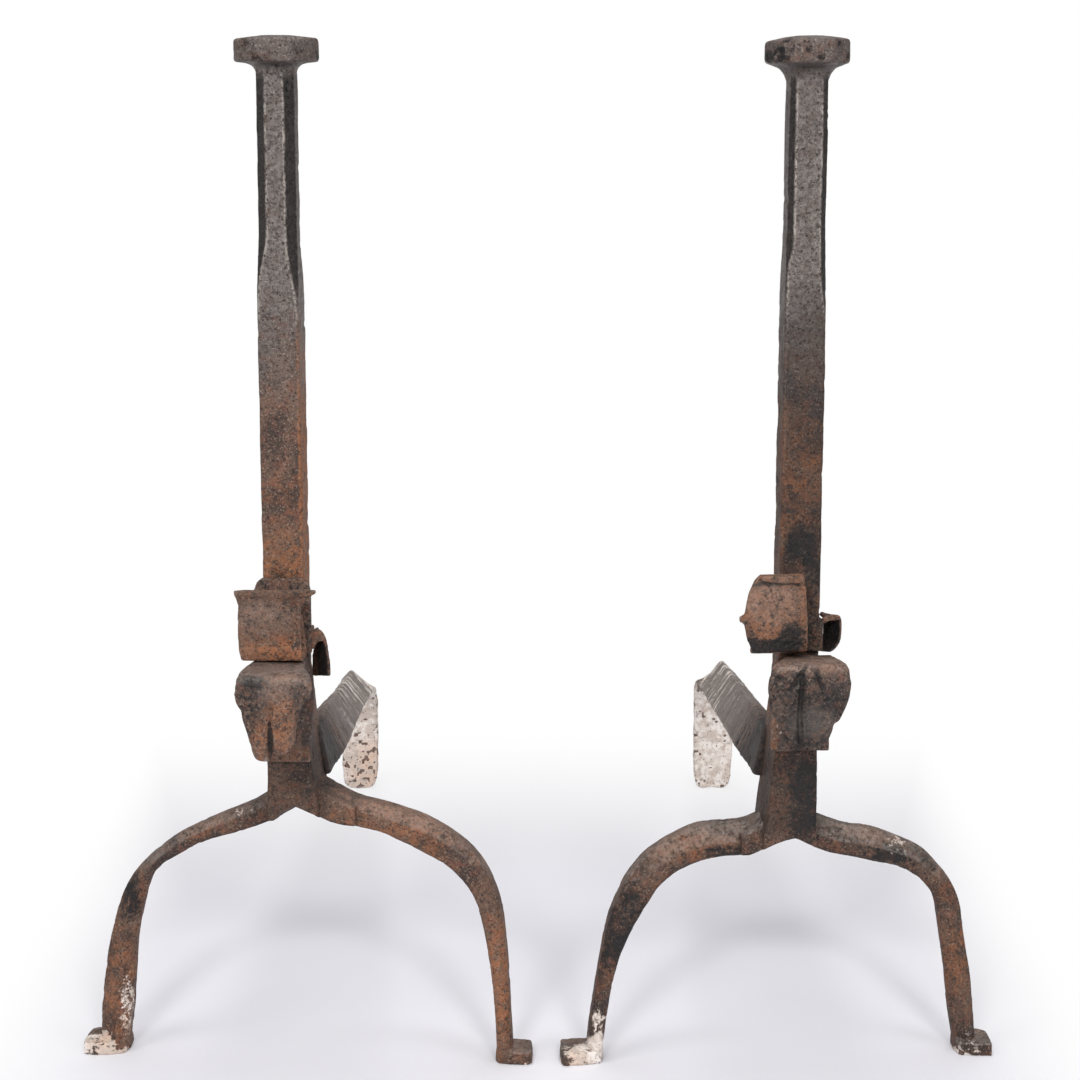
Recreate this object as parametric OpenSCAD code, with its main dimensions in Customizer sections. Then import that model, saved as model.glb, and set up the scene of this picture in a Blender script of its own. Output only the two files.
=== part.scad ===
// Pair of hand-forged wrought iron andirons with sliding spit cradles.
// Millimetres, +Z up, feet on z = 0, fronts towards -Y, log bars running back along +Y.
// The two stand by themselves, side by side, at the distance they are set to in the hearth.

/* [Pair] */
// Gap between the two inner feet
feet_gap = 12.7; // [6:0.1:150]
// Overall height of each andiron
overall_h = 600; // [560:1:660]
// Angle the left front is turned outward from its log bar
left_turn = 4; // [0:0.5:6]
// Angle the right front is turned outward from its log bar
right_turn = 3.5; // [0:0.5:6]

/* [Post] */
// Width and depth of the post where the collar slides
post_w = 23.5; // [21:0.5:26]
// Width of the chamfered upper part, flat to flat
neck_w = 21.8; // [19:0.1:23]
// Width of the flats of the left post's upper part
left_flat = 10.4; // [8:0.1:16]
// Width of the flats of the right post's upper part
right_flat = 14.4; // [8:0.1:16]
// Height where the post starts to thin towards the neck
thin_from = 455; // [448:1:470]
// Length over which the post thins and its chamfers run out
thin_len = 50; // [30:1:60]
// How far the heel behind the post stands back from its axis
heel_d = 30; // [24:0.5:36]
// How far the heel's slope ends below the left hook's top
heel_below = 5; // [3:0.5:12]
// How far the foot of the post widens towards the other andiron
foot_flare = 8; // [4:0.5:10]
// Height of the crotch between the left andiron's legs
left_crotch = 160; // [140:1:165]
// Height of the crotch between the right andiron's legs
right_crotch = 141; // [130:1:165]

/* [Rack] */
// Notches in the back of each post
notches = 4; // [2:1:4]
// Distance between notches
notch_pitch = 57; // [40:1:57]
// Height of the lowest notch
notch_z = 267; // [262:1:270]
// Height of one notch
notch_h = 13; // [8:0.5:16]
// Depth of one notch
notch_d = 3; // [2:0.5:4]

/* [Head] */
// Diameter of the head
head_d = 46.4; // [38:0.2:56]
// Thickness of the head's rim
rim_h = 10.5; // [8:0.5:14]
// Rise of the head's crown over its rim
crown_h = 2.5; // [1:0.5:5]
// Height of the cove under the head
cove_h = 15; // [10:1:22]
// Diameter of the tenon that holds the head
tenon_d = 12; // [8:0.5:14]
// Length of the tenon above the post's shoulder
tenon_l = 18; // [12:1:20]

/* [Legs] */
// Reach of the left andiron's outer leg
left_outer_reach = 110; // [90:1:125]
// Reach of the left andiron's inner leg
left_inner_reach = 125; // [100:1:135]
// Reach of the right andiron's outer leg
right_outer_reach = 105; // [90:1:125]
// Reach of the right andiron's inner leg
right_inner_reach = 116; // [100:1:135]
// How far the legs stand behind the post's axis
leg_back = 11; // [0:0.5:14]
// Height of an inner leg where it leaves the post
inner_root_h = 18; // [14:0.5:24]
// Height of an outer leg where it leaves the post
outer_root_h = 14; // [12:0.5:20]
// Front-to-back depth of a leg where it leaves the post
leg_root_d = 18; // [14:0.5:24]
// Front-to-back depth of an inner leg at its ankle
inner_ankle_d = 19; // [14:0.5:22]
// Side-to-side width of an inner leg at its ankle
inner_ankle_w = 9.2; // [8:0.1:14]
// Front-to-back depth of an outer leg at its ankle
outer_ankle_d = 13; // [10:0.5:20]
// Side-to-side width of an outer leg at its ankle
outer_ankle_w = 16; // [9:0.5:18]
// Thickness of a foot
foot_t = 8; // [6:0.5:12]
// Front-to-back width of a foot
foot_w = 28; // [20:0.5:32]
// Length of a foot past its leg's middle
foot_l = 19; // [16:0.5:26]

/* [Log bar] */
// Distance from the post's axis to the front of the rear foot
bar_l = 560; // [420:1:640]
// Height of the bar's middle where it leaves the post
bar_front_z = 184; // [178:1:190]
// Height of the bar's middle where it turns down to its foot
bar_rear_z = 91; // [70:1:120]
// Width of the bar at the post, where it stands on edge
bar_w = 31; // [24:0.5:34]
// Width of the bar before its rear bend
bar_rear_w = 23.5; // [20:0.5:30]
// Width of the rear foot
rear_foot_w = 29; // [22:0.5:34]
// Thickness of the bar
bar_t = 11; // [8:0.5:12]
// Angle from flat at which the bar leaves the post
bar_front_roll = 72; // [60:1:90]
// Angle from flat at which the bar reaches its rear bend
bar_rear_roll = 36; // [0:1:50]
// How far the bar leaves the post towards the other andiron
bar_side = 12; // [9:0.5:12]
// Radius of the rear bend, along the bar's middle
bar_bend = 15; // [12:0.5:25]

/* [Leaf hook] */
// Width of the strap on the post
strap_w = 33; // [27.5:0.5:36]
// Thickness of the strap and of the leaf
strap_t = 5; // [4:0.5:6]
// Height of the strap's lower end
strap_z = 192; // [185:1:200]
// Height of the left hook's top, which the cradle rests on
left_hook_z = 255; // [252:1:257]
// How far the right hook's top is above the left one's
right_hook_up = 5; // [0:0.5:7]
// How far the leaf's face stands in front of the post's axis
leaf_reach = 72; // [66:1:90]
// Width of the leaf
leaf_w = 44.5; // [36:0.5:50]
// Length of the leaf below the hook's top
leaf_l = 46; // [42:1:50]
// Depth of the grooves in the leaf
groove_d = 1.6; // [0.5:0.1:2.2]

/* [Slider] */
// Gap between the post and the collar on each side
slide_gap = 0.5; // [0.3:0.05:0.8]
// Thickness of the collar
collar_t = 3.2; // [2.5:0.1:4]
// Height of the collar
collar_h = 24; // [18:0.5:26]
// Width of the collar's back plate
plate_w = 33; // [32:0.5:40]
// Height of the back plate above the hook's top
plate_up = 43; // [38:1:50]
// Width of the cradle strip
cradle_w = 35.5; // [30:0.5:38]
// Thickness of the cradle strip
cradle_t = 4.5; // [3:0.1:5]
// How far the cradle's front wall stands in front of the post's axis
cradle_reach = 40; // [38:0.5:50]
// Height of the left cradle's lip above the hook's top
left_lip_h = 40.5; // [34:0.5:46]
// Height of the right cradle's lip above the hook's top
right_lip_h = 45.5; // [34:0.5:50]
// How far the left cradle sits towards the left
left_cradle_shift = 4.6; // [0:0.2:6]
// How far the right cradle sits towards the left
right_cradle_shift = 15; // [0:0.5:15]
// Gap between the resting cradle and the hook
rest_gap = 0.3; // [0.2:0.1:0.6]
// Height of the left side eye's top above the cradle's bottom
left_eye_up = 11; // [9:0.5:20]
// Height of the right side eye's top above the cradle's bottom
right_eye_up = 14.5; // [9:0.5:20]
// How far the side eye stands out from the collar
eye_out = 9; // [7:0.2:12]
// Height of the side eye
eye_h = 24; // [18:0.5:26]
// Thickness of the eye's strip
eye_t = 2.8; // [2:0.1:3.5]
// Front-to-back width of the eye's strip
eye_w = 20; // [12:0.5:24]
// Diameter of the rivets
rivet_d = 5; // [4:0.2:6]

/* [Hidden] */

LEFT = -1;
RIGHT = 1;

far = overall_h;
half = post_w / 2;
rim_z = overall_h - crown_h - rim_h;
neck_top = rim_z - cove_h;
thin_to = thin_from + thin_len;
heel_rise = 45;
heel_z = left_hook_z - heel_below - heel_rise;
root_drop = 10;
inner_drop = 1.5;
outer_drop = 4;
collar_in = half + slide_gap;
collar_out = collar_in + collar_t;
cradle_back = collar_out + cradle_t;
leaf_back = leaf_reach - strap_t;
rear_y = bar_l + bar_t;
tip_r = 7;
post_spacing = inner_tip(LEFT) + inner_tip(RIGHT) + feet_gap;
rivet_head_h = 1.8;
rivet_head_d = rivet_d * 1.8;
rivet_in = 9;
rivet_low_z = strap_z + 16;
cradle_wall_h = 24;
trough = cradle_reach - cradle_t - cradle_back;
front_reach = max([for (s = [LEFT, RIGHT]) leaf_reach * cos(turn(s)) + leaf_w / 2 * sin(turn(s))]);
middle_y = (rear_y - front_reach) / 2;
middle_x = (tip(RIGHT) - tip(LEFT)) / 2;

function turn(s) = s == LEFT ? left_turn : right_turn;
function flat(s) = s == LEFT ? left_flat : right_flat;
function crotch(s) = s == LEFT ? left_crotch : right_crotch;
function hook_z(s) = s == LEFT ? left_hook_z : left_hook_z + right_hook_up;
function cradle_z(s) = hook_z(s) + rest_gap;
function cradle_rivet_z(s) = cradle_z(s) + 15;
function rivet_zs(s) = [rivet_low_z, hook_z(s) - 20];
function leaf_wide_z(s) = hook_z(s) - leaf_l * 0.42;
function lip_h(s) = s == LEFT ? left_lip_h : right_lip_h;
function eye_up(s) = s == LEFT ? left_eye_up : right_eye_up;
function outer_reach(s) = s == LEFT ? left_outer_reach : right_outer_reach;
function inner_reach(s) = s == LEFT ? left_inner_reach : right_inner_reach;
// How far the feet's tips stand out from the post's axis
function tip_of(x, y, a) = (x + foot_l - tip_r) * cos(a) + y * sin(a) + tip_r;
function tip(s) = tip_of(outer_reach(s), foot_w / 2 - tip_r - leg_back, turn(s));
function inner_tip(s) = tip_of(inner_reach(s), foot_w / 2 - tip_r + leg_back, turn(s));
// The cradle's place across the post, where +X points at the other andiron
function cradle_x(s) = s == LEFT ? -left_cradle_shift : right_cradle_shift;

function mix(a, b, t) = a + (b - a) * t;
function ease(t) = t * t * (3 - 2 * t);
function arc(cx, cy, r, a0, a1, n) =
    [for (i = [0:n]) let (a = mix(a0, a1, i / n)) [cx + r * cos(a), cy + r * sin(a)]];
function bezier(p, t) =
    pow(1 - t, 3) * p[0] + 3 * t * pow(1 - t, 2) * p[1] + 3 * t * t * (1 - t) * p[2] + pow(t, 3) * p[3];
function bezier_dir(p, t) =
    pow(1 - t, 2) * (p[1] - p[0]) + 2 * t * (1 - t) * (p[2] - p[1]) + t * t * (p[3] - p[2]);
function turned_by(p, a) = [p[0] * cos(a) + p[1] * sin(a), p[1] * cos(a) - p[0] * sin(a), p[2]];

// Stands one andiron's pieces in the pair, with +X towards the other andiron
module square_on(s) {
    translate([s * post_spacing / 2 - middle_x, -middle_y, 0]) mirror([s == RIGHT ? 1 : 0, 0, 0]) children();
}

// The same for the pieces that turn outward with the post
module turned(s) {
    square_on(s) rotate([0, 0, -turn(s)]) children();
}

// A closed skin over rings of points that run along a bar
module skin(rings) {
    n = len(rings[0]);
    last = len(rings) - 1;
    sides = [for (i = [0:last - 1], j = [0:n - 1]) let (a = i * n + j, b = i * n + (j + 1) % n)
        each [[a, b, b + n], [a, b + n, a + n]]];
    ends = [[for (j = [n - 1:-1:0]) j], [for (j = [0:n - 1]) last * n + j]];
    polyhedron([for (r = rings) each r], concat(sides, ends));
}

// Eight points round a bar: c is the centre, u and v the axes, a and b the half sizes, k the bevel
function section(c, u, v, a, b, k) = [for (p = [
    [a, k - b], [a, b - k], [a - k, b], [k - a, b], [-a, b - k], [-a, k - b], [k - a, -b], [a - k, -b]])
    c + p[0] * u + p[1] * v];

// A plan outline seen from the front, x across and z up, run through the depth from y0 to y1
module seen_from_front(y0, y1) {
    translate([0, y1, 0]) rotate([90, 0, 0]) linear_extrude(y1 - y0) children();
}

// An outline seen from the side, its first axis pointing forward and z up, run across the width w
module seen_from_side(w) {
    translate([-w / 2, 0, 0]) rotate([90, 0, -90]) mirror([0, 0, 1]) linear_extrude(w) children();
}

// Cuts the two corners that face along one diagonal
module diagonal_view(s, a) {
    edge = (neck_w + flat(s)) * sqrt(2) / 4;
    rotate([0, 0, a]) seen_from_front(-far, far) polygon([
        [-far, 0], [far, 0], [far, thin_from], [half * sqrt(2) - 0.4, thin_from],
        [edge, thin_to], [edge, overall_h],
        [-edge, overall_h], [-edge, thin_to], [0.4 - half * sqrt(2), thin_from], [-far, thin_from]]);
}

module post(s) {
    foot_z = crotch(s) - root_drop;
    color("#3a302b") difference() {
        union() {
            intersection() {
                seen_from_front(-far, far) polygon([
                    [0, crotch(s)], [half + foot_flare, foot_z], [half + foot_flare, crotch(s) + inner_root_h / 2],
                    [half, heel_z], [half, thin_from], [neck_w / 2, thin_to], [neck_w / 2, neck_top],
                    [-neck_w / 2, neck_top], [-neck_w / 2, thin_to], [-half, thin_from], [-half, foot_z]]);
                seen_from_side(far) polygon([
                    [half, 0], [half, thin_from], [neck_w / 2, thin_to], [neck_w / 2, neck_top],
                    [-neck_w / 2, neck_top], [-neck_w / 2, thin_to], [-half, thin_from],
                    [-half, heel_z + heel_rise], [-heel_d, heel_z], [-heel_d, 0]]);
                diagonal_view(s, 45);
                diagonal_view(s, -45);
            }
            translate([0, 0, thin_to]) cylinder(h = neck_top - thin_to + tenon_l, d = tenon_d);
        }
        for (k = [0:notches - 1]) {
            translate([-half - 1, half - notch_d, notch_z + k * notch_pitch])
                cube([post_w + 2, notch_d + 1, notch_h]);
        }
        strap_shanks(s);
    }
}

module head() {
    r = head_d / 2;
    cove = [for (i = [0:8]) let (a = i * 90 / 8)
        [neck_w / 2 + (r - 1.5 - neck_w / 2) * (1 - cos(a)), neck_top + cove_h * sin(a)]];
    crown = [for (i = [0:8]) let (a = i * 90 / 8) [(r - 1) * cos(a), rim_z + rim_h + crown_h * sin(a)]];
    color("#332e2c") difference() {
        rotate_extrude() polygon(concat([[0, neck_top]], cove, [[r, rim_z + 1.5], [r, rim_z + rim_h - 1.5]], crown));
        translate([0, 0, neck_top - 1]) cylinder(h = tenon_l + 1, d = tenon_d);
    }
}

// One leg in the plane of the arch, leaving the post at root_x and standing at ankle_x
module leg(root_x, ankle_x, root_z, root_h, ankle_w, ankle_d) {
    span = ankle_x - root_x;
    line = [[root_x, root_z], [root_x + span / 2, root_z - 8], [ankle_x + 4, root_z - 22], [ankle_x, foot_t / 2]];
    steps = 18;
    translate([0, leg_back, 0]) skin([for (i = [0:steps])
        let (t = i / steps, c = bezier(line, t), d = i == 0 ? [1, 0] : bezier_dir(line, t), m = norm(d), k = ease(t))
        section([c[0], 0, c[1]], [-d[1] / m, 0, d[0] / m], [0, 1, 0],
            mix(root_h, ankle_w, k) / 2, mix(leg_root_d, ankle_d, k) / 2, 2.5)]);
    translate([0, leg_back, 0]) linear_extrude(foot_t) {
        translate([ankle_x - ankle_w / 2, -foot_w / 2]) square([foot_l + ankle_w / 2 - tip_r, foot_w]);
        translate([ankle_x - ankle_w / 2, tip_r - foot_w / 2]) square([foot_l + ankle_w / 2, foot_w - tip_r * 2]);
        for (y = [-1, 1]) {
            translate([ankle_x + foot_l - tip_r, y * (foot_w / 2 - tip_r)]) circle(tip_r);
        }
    }
}

module inner_leg(s) {
    color("#46352b") leg(half + foot_flare, inner_reach(s),
        crotch(s) - inner_drop, inner_root_h, inner_ankle_w, inner_ankle_d);
}

module outer_leg(s) {
    color("#46352b") mirror([1, 0, 0])
        leg(half, outer_reach(s), crotch(s) - outer_drop, outer_root_h, outer_ankle_w, outer_ankle_d);
}

// A flat bar: on edge at the post, turned over towards its rear bend, then straight down
module log_bar(s) {
    start = turned_by([bar_side, heel_d, bar_front_z], turn(s));
    mid_y = bar_l + bar_t / 2;
    bend_y = mid_y - bar_bend;
    runs = 14;
    run = [for (i = [0:runs]) let (t = i / runs, k = ease(min(1, t * 1.15)), roll = mix(bar_front_roll, bar_rear_roll, k),
            x = turned_by([1, 0, 0], turn(s) * (1 - min(1, t * 3))))
        section([mix(start[0], 0, t), mix(start[1], bend_y, t), mix(bar_front_z, bar_rear_z, t)],
            cos(roll) * x - [0, 0, sin(roll)], sin(roll) * x + [0, 0, cos(roll)],
            mix(bar_w, bar_rear_w, k) / 2, bar_t / 2, 1.5)];
    turns = 6;
    bend = [for (i = [1:turns]) let (t = i / turns, a = 90 * t, roll = bar_rear_roll * (1 - t), w = [0, sin(a), cos(a)])
        section([0, bend_y + bar_bend * sin(a), bar_rear_z - bar_bend * (1 - cos(a))],
            cos(roll) * [1, 0, 0] - sin(roll) * w, sin(roll) * [1, 0, 0] + cos(roll) * w,
            mix(bar_rear_w, rear_foot_w, t) / 2, bar_t / 2, 1.5)];
    drop = [for (p = [[5, 0], [0, 5]])
        section([0, mid_y, p[0]], [1, 0, 0], [0, 1, 0], (rear_foot_w - p[1]) / 2, (bar_t - p[1] / 3) / 2, 1.5)];
    color("#6c655f") skin(concat(run, bend, drop));
}

// The strap's side view: up the post, forward over the top, down into the leaf; first axis points forward
function hook_outline(top) = concat(
    [[half, strap_z], [half, top - 6]],
    arc(half + 6, top - 6, 6, 180, 90, 5),
    arc(leaf_reach - 8, top - 8, 8, 90, 0, 6),
    [[leaf_reach, top - leaf_l], [leaf_back, top - leaf_l]],
    arc(leaf_reach - 8, top - 8, 8 - strap_t, 0, 90, 4),
    arc(half + strap_t + 3, top - strap_t - 3, 3, 90, 180, 4),
    [[half + strap_t, strap_z]]);

// The leaf from the front: x across, z up
function leaf_outline(top, wide_z) = concat(
    [[leaf_w * 0.38, top + 1], [leaf_w * 0.38, top - 2], [leaf_w / 2, wide_z + 6],
        [leaf_w / 2, wide_z]],
    arc(0, top - leaf_l + 10, 10, -20, -160, 8),
    [[-leaf_w / 2, wide_z], [-leaf_w / 2, wide_z + 6], [-leaf_w * 0.38, top - 2],
        [-leaf_w * 0.38, top + 1]]);

// A chisel groove down the leaf's face, leaning by a
module groove(x, z, l, a) {
    translate([x, -leaf_reach, z]) rotate([0, a, 0]) translate([0, 0, -l / 2]) rotate([0, 0, 45])
        translate([-groove_d * sqrt(0.5), -groove_d * sqrt(0.5), 0])
            cube([groove_d * sqrt(2), groove_d * sqrt(2), l]);
}

module leaf_hook(s) {
    top = hook_z(s);
    wide_z = leaf_wide_z(s);
    split = leaf_reach - 14;
    color("#4a372c") difference() {
        intersection() {
            seen_from_side(far) polygon(hook_outline(top));
            union() {
                translate([-strap_w / 2, -split, 0]) cube([strap_w, split, overall_h]);
                seen_from_front(-leaf_reach - 1, 1 - split) polygon(leaf_outline(top, wide_z));
            }
        }
        groove(0, top - leaf_l * 0.62, leaf_l * 0.6, 0);
        groove(leaf_w * 0.2, wide_z, leaf_l * 0.45, -18);
        groove(-leaf_w * 0.2, wide_z, leaf_l * 0.45, 18);
        strap_shanks(s);
    }
}

// The shanks that go through the strap and into the post
module strap_shanks(s) {
    for (z = rivet_zs(s)) {
        translate([0, rivet_in - half, z]) rotate([90, 0, 0])
            cylinder(h = rivet_in + strap_t + rivet_head_h / 2, d = rivet_d);
    }
}

// A low domed rivet head on a face at y, seen from the front
module rivet_head(y, z) {
    translate([0, y, z]) rotate([90, 0, 0])
        rotate_extrude() polygon([[0, 0], [rivet_head_d / 2, 0], [rivet_head_d / 2 * 0.8, rivet_head_h * 0.7],
            [rivet_head_d / 2 * 0.4, rivet_head_h], [0, rivet_head_h]]);
}

module strap_rivets(s) {
    color("#2f2622") {
        strap_shanks(s);
        for (z = rivet_zs(s)) {
            rivet_head(-half - strap_t, z);
        }
    }
}

// Where the rivets of one cradle stand across the collar's plate
function cradle_rivet_xs(s) = s == LEFT ? [-8, 4] : [1, 11];

module cradle_shanks(s) {
    for (x = cradle_rivet_xs(s)) {
        translate([x, -collar_in, cradle_rivet_z(s)]) rotate([90, 0, 0])
            cylinder(h = collar_t + cradle_t + rivet_head_h / 2, d = rivet_d);
    }
}

// The ring round the post, and the plate that stands up in front of it
module collar(s) {
    low = cradle_z(s);
    plate_z = hook_z(s) + plate_up - 6;
    color("#35291f") difference() {
        union() {
            translate([-collar_out, -collar_out, low]) cube([collar_out * 2, collar_out * 2, collar_h]);
            seen_from_front(-collar_out, -collar_in) polygon(concat(
                [[-plate_w / 2, low], [plate_w / 2, low]],
                arc(plate_w / 2 - 6, plate_z, 6, 0, 90, 6),
                arc(6 - plate_w / 2, plate_z, 6, 90, 180, 6)));
        }
        translate([-collar_in, -collar_in, low - 1]) cube([collar_in * 2, collar_in * 2, plate_up + 2]);
        cradle_shanks(s);
    }
}

// The cradle's side view: down the collar's plate, forward, up to a lip that leans out
function cradle_outline(h, low) = concat(
    [[collar_out, low + cradle_wall_h]],
    arc(collar_out + 4, low + 4, 4, 180, 270, 5),
    arc(cradle_reach - 8, low + 8, 8, 270, 360, 6),
    [[cradle_reach, low + h - 8], [cradle_reach + 3.5, low + h],
        [cradle_reach + 3.5 - cradle_t, low + h], [cradle_reach - cradle_t, low + h - 8]],
    arc(cradle_reach - 8, low + 8, 8 - cradle_t, 360, 270, 4),
    [[cradle_back, low + cradle_t], [cradle_back, low + cradle_wall_h]]);

// The front wall's outline: the left one has a winged lip, the right one has its corners cut
function wall_outline(s) = let (w = cradle_w / 2, h = lip_h(s)) s == LEFT
    ? [[2 - w, 0], [w - 1, 0], [w, h * 0.4], [w, h - 8], [w + 4.5, h - 2], [w + 4.5, h],
        [-w - 4.5, h], [-w - 4.5, h - 2], [-w, h - 8], [-w, h * 0.4]]
    : [[2 - w, 0], [w - 4, 0], [w, h * 0.35], [w, h * 0.62], [w * 0.5, h], [-w * 0.75, h], [-w, h * 0.85]];

module spit_cradle(s) {
    color("#5a3d28") difference() {
        translate([cradle_x(s), 0, 0]) intersection() {
            seen_from_side(far) polygon(cradle_outline(lip_h(s), cradle_z(s)));
            translate([0, 0, cradle_z(s)]) seen_from_front(-cradle_reach - 5, -collar_out) polygon(wall_outline(s));
        }
        cradle_shanks(s);
    }
}

module cradle_rivets(s) {
    color("#2f2622") {
        cradle_shanks(s);
        for (x = cradle_rivet_xs(s)) {
            translate([x, 0, 0]) rivet_head(-cradle_back, cradle_rivet_z(s));
        }
    }
}

// A strip that leaves the collar's side, turns over and hangs beside the post, always on the picture's right
module side_eye(s) {
    low = cradle_z(s);
    top_z = low + eye_up(s);
    out_r = 6;
    color("#32261e") mirror([s == RIGHT ? 1 : 0, 0, 0]) seen_from_front(-collar_in, eye_w - collar_in)
        polygon(concat(
            [[collar_out, low + 1], [collar_out, top_z]],
            arc(collar_out + eye_out - out_r, top_z - out_r, out_r, 90, 0, 6),
            [[collar_out + eye_out + 1.5, top_z - eye_h], [collar_out + eye_out + 1.5 - eye_t, top_z - eye_h]],
            arc(collar_out + eye_out - out_r, top_z - out_r, out_r - eye_t, 0, 60, 4),
            [[collar_out + eye_t * 0.7, top_z - eye_t * 1.6], [collar_out + eye_t * 0.7, low + 1]]));
}

turned(LEFT) post(LEFT);  // left_post
turned(LEFT) head();  // left_head
turned(LEFT) inner_leg(LEFT);  // left_inner_leg
turned(LEFT) outer_leg(LEFT);  // left_outer_leg
square_on(LEFT) log_bar(LEFT);  // left_log_bar
turned(LEFT) leaf_hook(LEFT);  // left_leaf_hook
turned(LEFT) strap_rivets(LEFT);  // left_strap_rivets
turned(LEFT) collar(LEFT);  // left_collar
turned(LEFT) spit_cradle(LEFT);  // left_spit_cradle
turned(LEFT) cradle_rivets(LEFT);  // left_cradle_rivets
turned(LEFT) side_eye(LEFT);  // left_side_eye
turned(RIGHT) post(RIGHT);  // right_post
turned(RIGHT) head();  // right_head
turned(RIGHT) inner_leg(RIGHT);  // right_inner_leg
turned(RIGHT) outer_leg(RIGHT);  // right_outer_leg
square_on(RIGHT) log_bar(RIGHT);  // right_log_bar
turned(RIGHT) leaf_hook(RIGHT);  // right_leaf_hook
turned(RIGHT) strap_rivets(RIGHT);  // right_strap_rivets
turned(RIGHT) collar(RIGHT);  // right_collar
turned(RIGHT) spit_cradle(RIGHT);  // right_spit_cradle
turned(RIGHT) cradle_rivets(RIGHT);  // right_cradle_rivets
turned(RIGHT) side_eye(RIGHT);  // right_side_eye
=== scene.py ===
"""A pair of hand-forged andirons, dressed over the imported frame."""
import itertools
import math

import bpy
import numpy as np
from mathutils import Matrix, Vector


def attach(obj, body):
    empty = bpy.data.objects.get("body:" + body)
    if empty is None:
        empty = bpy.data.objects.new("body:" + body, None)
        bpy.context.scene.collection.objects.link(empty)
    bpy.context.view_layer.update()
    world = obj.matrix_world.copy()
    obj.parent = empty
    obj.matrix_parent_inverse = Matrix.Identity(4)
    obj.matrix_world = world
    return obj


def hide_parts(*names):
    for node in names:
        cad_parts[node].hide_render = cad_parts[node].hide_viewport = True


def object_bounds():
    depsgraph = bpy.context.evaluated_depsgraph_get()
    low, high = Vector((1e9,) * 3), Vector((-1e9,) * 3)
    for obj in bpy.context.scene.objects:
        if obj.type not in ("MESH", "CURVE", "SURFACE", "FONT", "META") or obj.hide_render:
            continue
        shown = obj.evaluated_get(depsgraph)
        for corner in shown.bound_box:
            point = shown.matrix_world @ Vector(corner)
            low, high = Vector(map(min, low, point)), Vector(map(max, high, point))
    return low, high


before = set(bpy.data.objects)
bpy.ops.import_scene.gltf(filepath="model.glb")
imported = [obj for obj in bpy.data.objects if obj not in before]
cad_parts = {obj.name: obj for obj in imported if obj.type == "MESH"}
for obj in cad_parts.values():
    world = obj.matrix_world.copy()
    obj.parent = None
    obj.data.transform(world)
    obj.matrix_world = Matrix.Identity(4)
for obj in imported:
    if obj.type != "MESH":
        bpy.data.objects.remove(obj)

CAD_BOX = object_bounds()
MM = 0.001
LEFT, RIGHT = -1, 1
SIDES = {LEFT: "left", RIGHT: "right"}

# ------------------------------------------------------------------ places
# The same sizes as the part's source, in millimetres. Local frame of one andiron: the post's axis at
# x = y = 0, +x towards the other andiron, -y to the front. TURN is each post's turn from its bar, in degrees.
TURN = {LEFT: 4.0, RIGHT: 3.5}
HALF = 11.75
NECK_FLAT = 21.8
POST_X = {LEFT: -144.3, RIGHT: 149.18}
MIDDLE_Y = 248.81
HOOK_TOP = {LEFT: 255.0, RIGHT: 260.0}
# The left leaf hook hangs this much lower than its solid.
HOOK_SAG = 1.4
# Middle of the legs' depth behind the posts' axes.
LEG_BACK = 11.0
COLLAR_LOW = {LEFT: 254.1, RIGHT: 254.7}
COLLAR_IN, COLLAR_OUT = 12.25, 15.45
BOX_LO = np.array(CAD_BOX[0]) / MM
BOX_HI = np.array(CAD_BOX[1]) / MM
# How far inside the solids' box the points that are clipped to it stay.
BOX_MARGIN = 0.02


def to_pair(points, side, turned=True):
    """Local millimetres of one andiron to the row frame, still in millimetres."""
    p = np.array(points, dtype=float).reshape(-1, 3)
    a = math.radians(TURN[side]) if turned else 0.0
    x = p[:, 0] * math.cos(a) + p[:, 1] * math.sin(a)
    y = p[:, 1] * math.cos(a) - p[:, 0] * math.sin(a)
    return np.stack([POST_X[side] - side * x, y - MIDDLE_Y, p[:, 2]], axis=1)


def from_pair(points, side, turned=True):
    """The way back: row frame millimetres to local ones."""
    p = np.array(points, dtype=float)
    x = (POST_X[side] - p[:, 0]) * side
    y = p[:, 1] + MIDDLE_Y
    a = math.radians(TURN[side]) if turned else 0.0
    return np.stack([x * math.cos(a) - y * math.sin(a), x * math.sin(a) + y * math.cos(a), p[:, 2]], axis=1)


# ------------------------------------------------------------------ noise
AXIS_PRIMES = (374761393, 668265263, 2147483647)
SEED_PRIME = 974634777
STIR_PRIME = 1274126177
UINT_COUNT = 2 ** 32


def scatter(cells, seed):
    """A value from 0 to 1 for each whole-numbered cell (x, y, z), the same on every run."""
    with np.errstate(over="ignore"):
        h = np.uint32(seed * SEED_PRIME % UINT_COUNT)
        for cell, prime in zip(cells, AXIS_PRIMES):
            h = h + cell.astype(np.uint32) * np.uint32(prime)
        h = (h ^ (h >> np.uint32(13))) * np.uint32(STIR_PRIME)
        h = h ^ (h >> np.uint32(16))
    return h.astype(np.float64) / (UINT_COUNT - 1)


def noise(p, size, seed=0):
    """Smooth value noise from -1 to 1, one wave per size millimetres."""
    q = p / size + 1000.0
    i = np.floor(q).astype(np.int64)
    f = q - i
    f = f * f * f * (f * (f * 6 - 15) + 10)
    share = (1 - f, f)
    out = 0.0
    for dx, dy, dz in itertools.product((0, 1), repeat=3):
        weight = share[dx][:, 0] * share[dy][:, 1] * share[dz][:, 2]
        out = out + weight * scatter((i[:, 0] + dx, i[:, 1] + dy, i[:, 2] + dz), seed)
    return out * 2 - 1


def fractal(p, size, seed=0, octaves=3):
    """Noise with finer noise on it, from -1 to 1."""
    total, amp, norm = 0.0, 1.0, 0.0
    for k in range(octaves):
        total = total + amp * noise(p, size / 2 ** k, seed + 17 * k)
        norm += amp
        amp *= 0.55
    return total / norm


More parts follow.
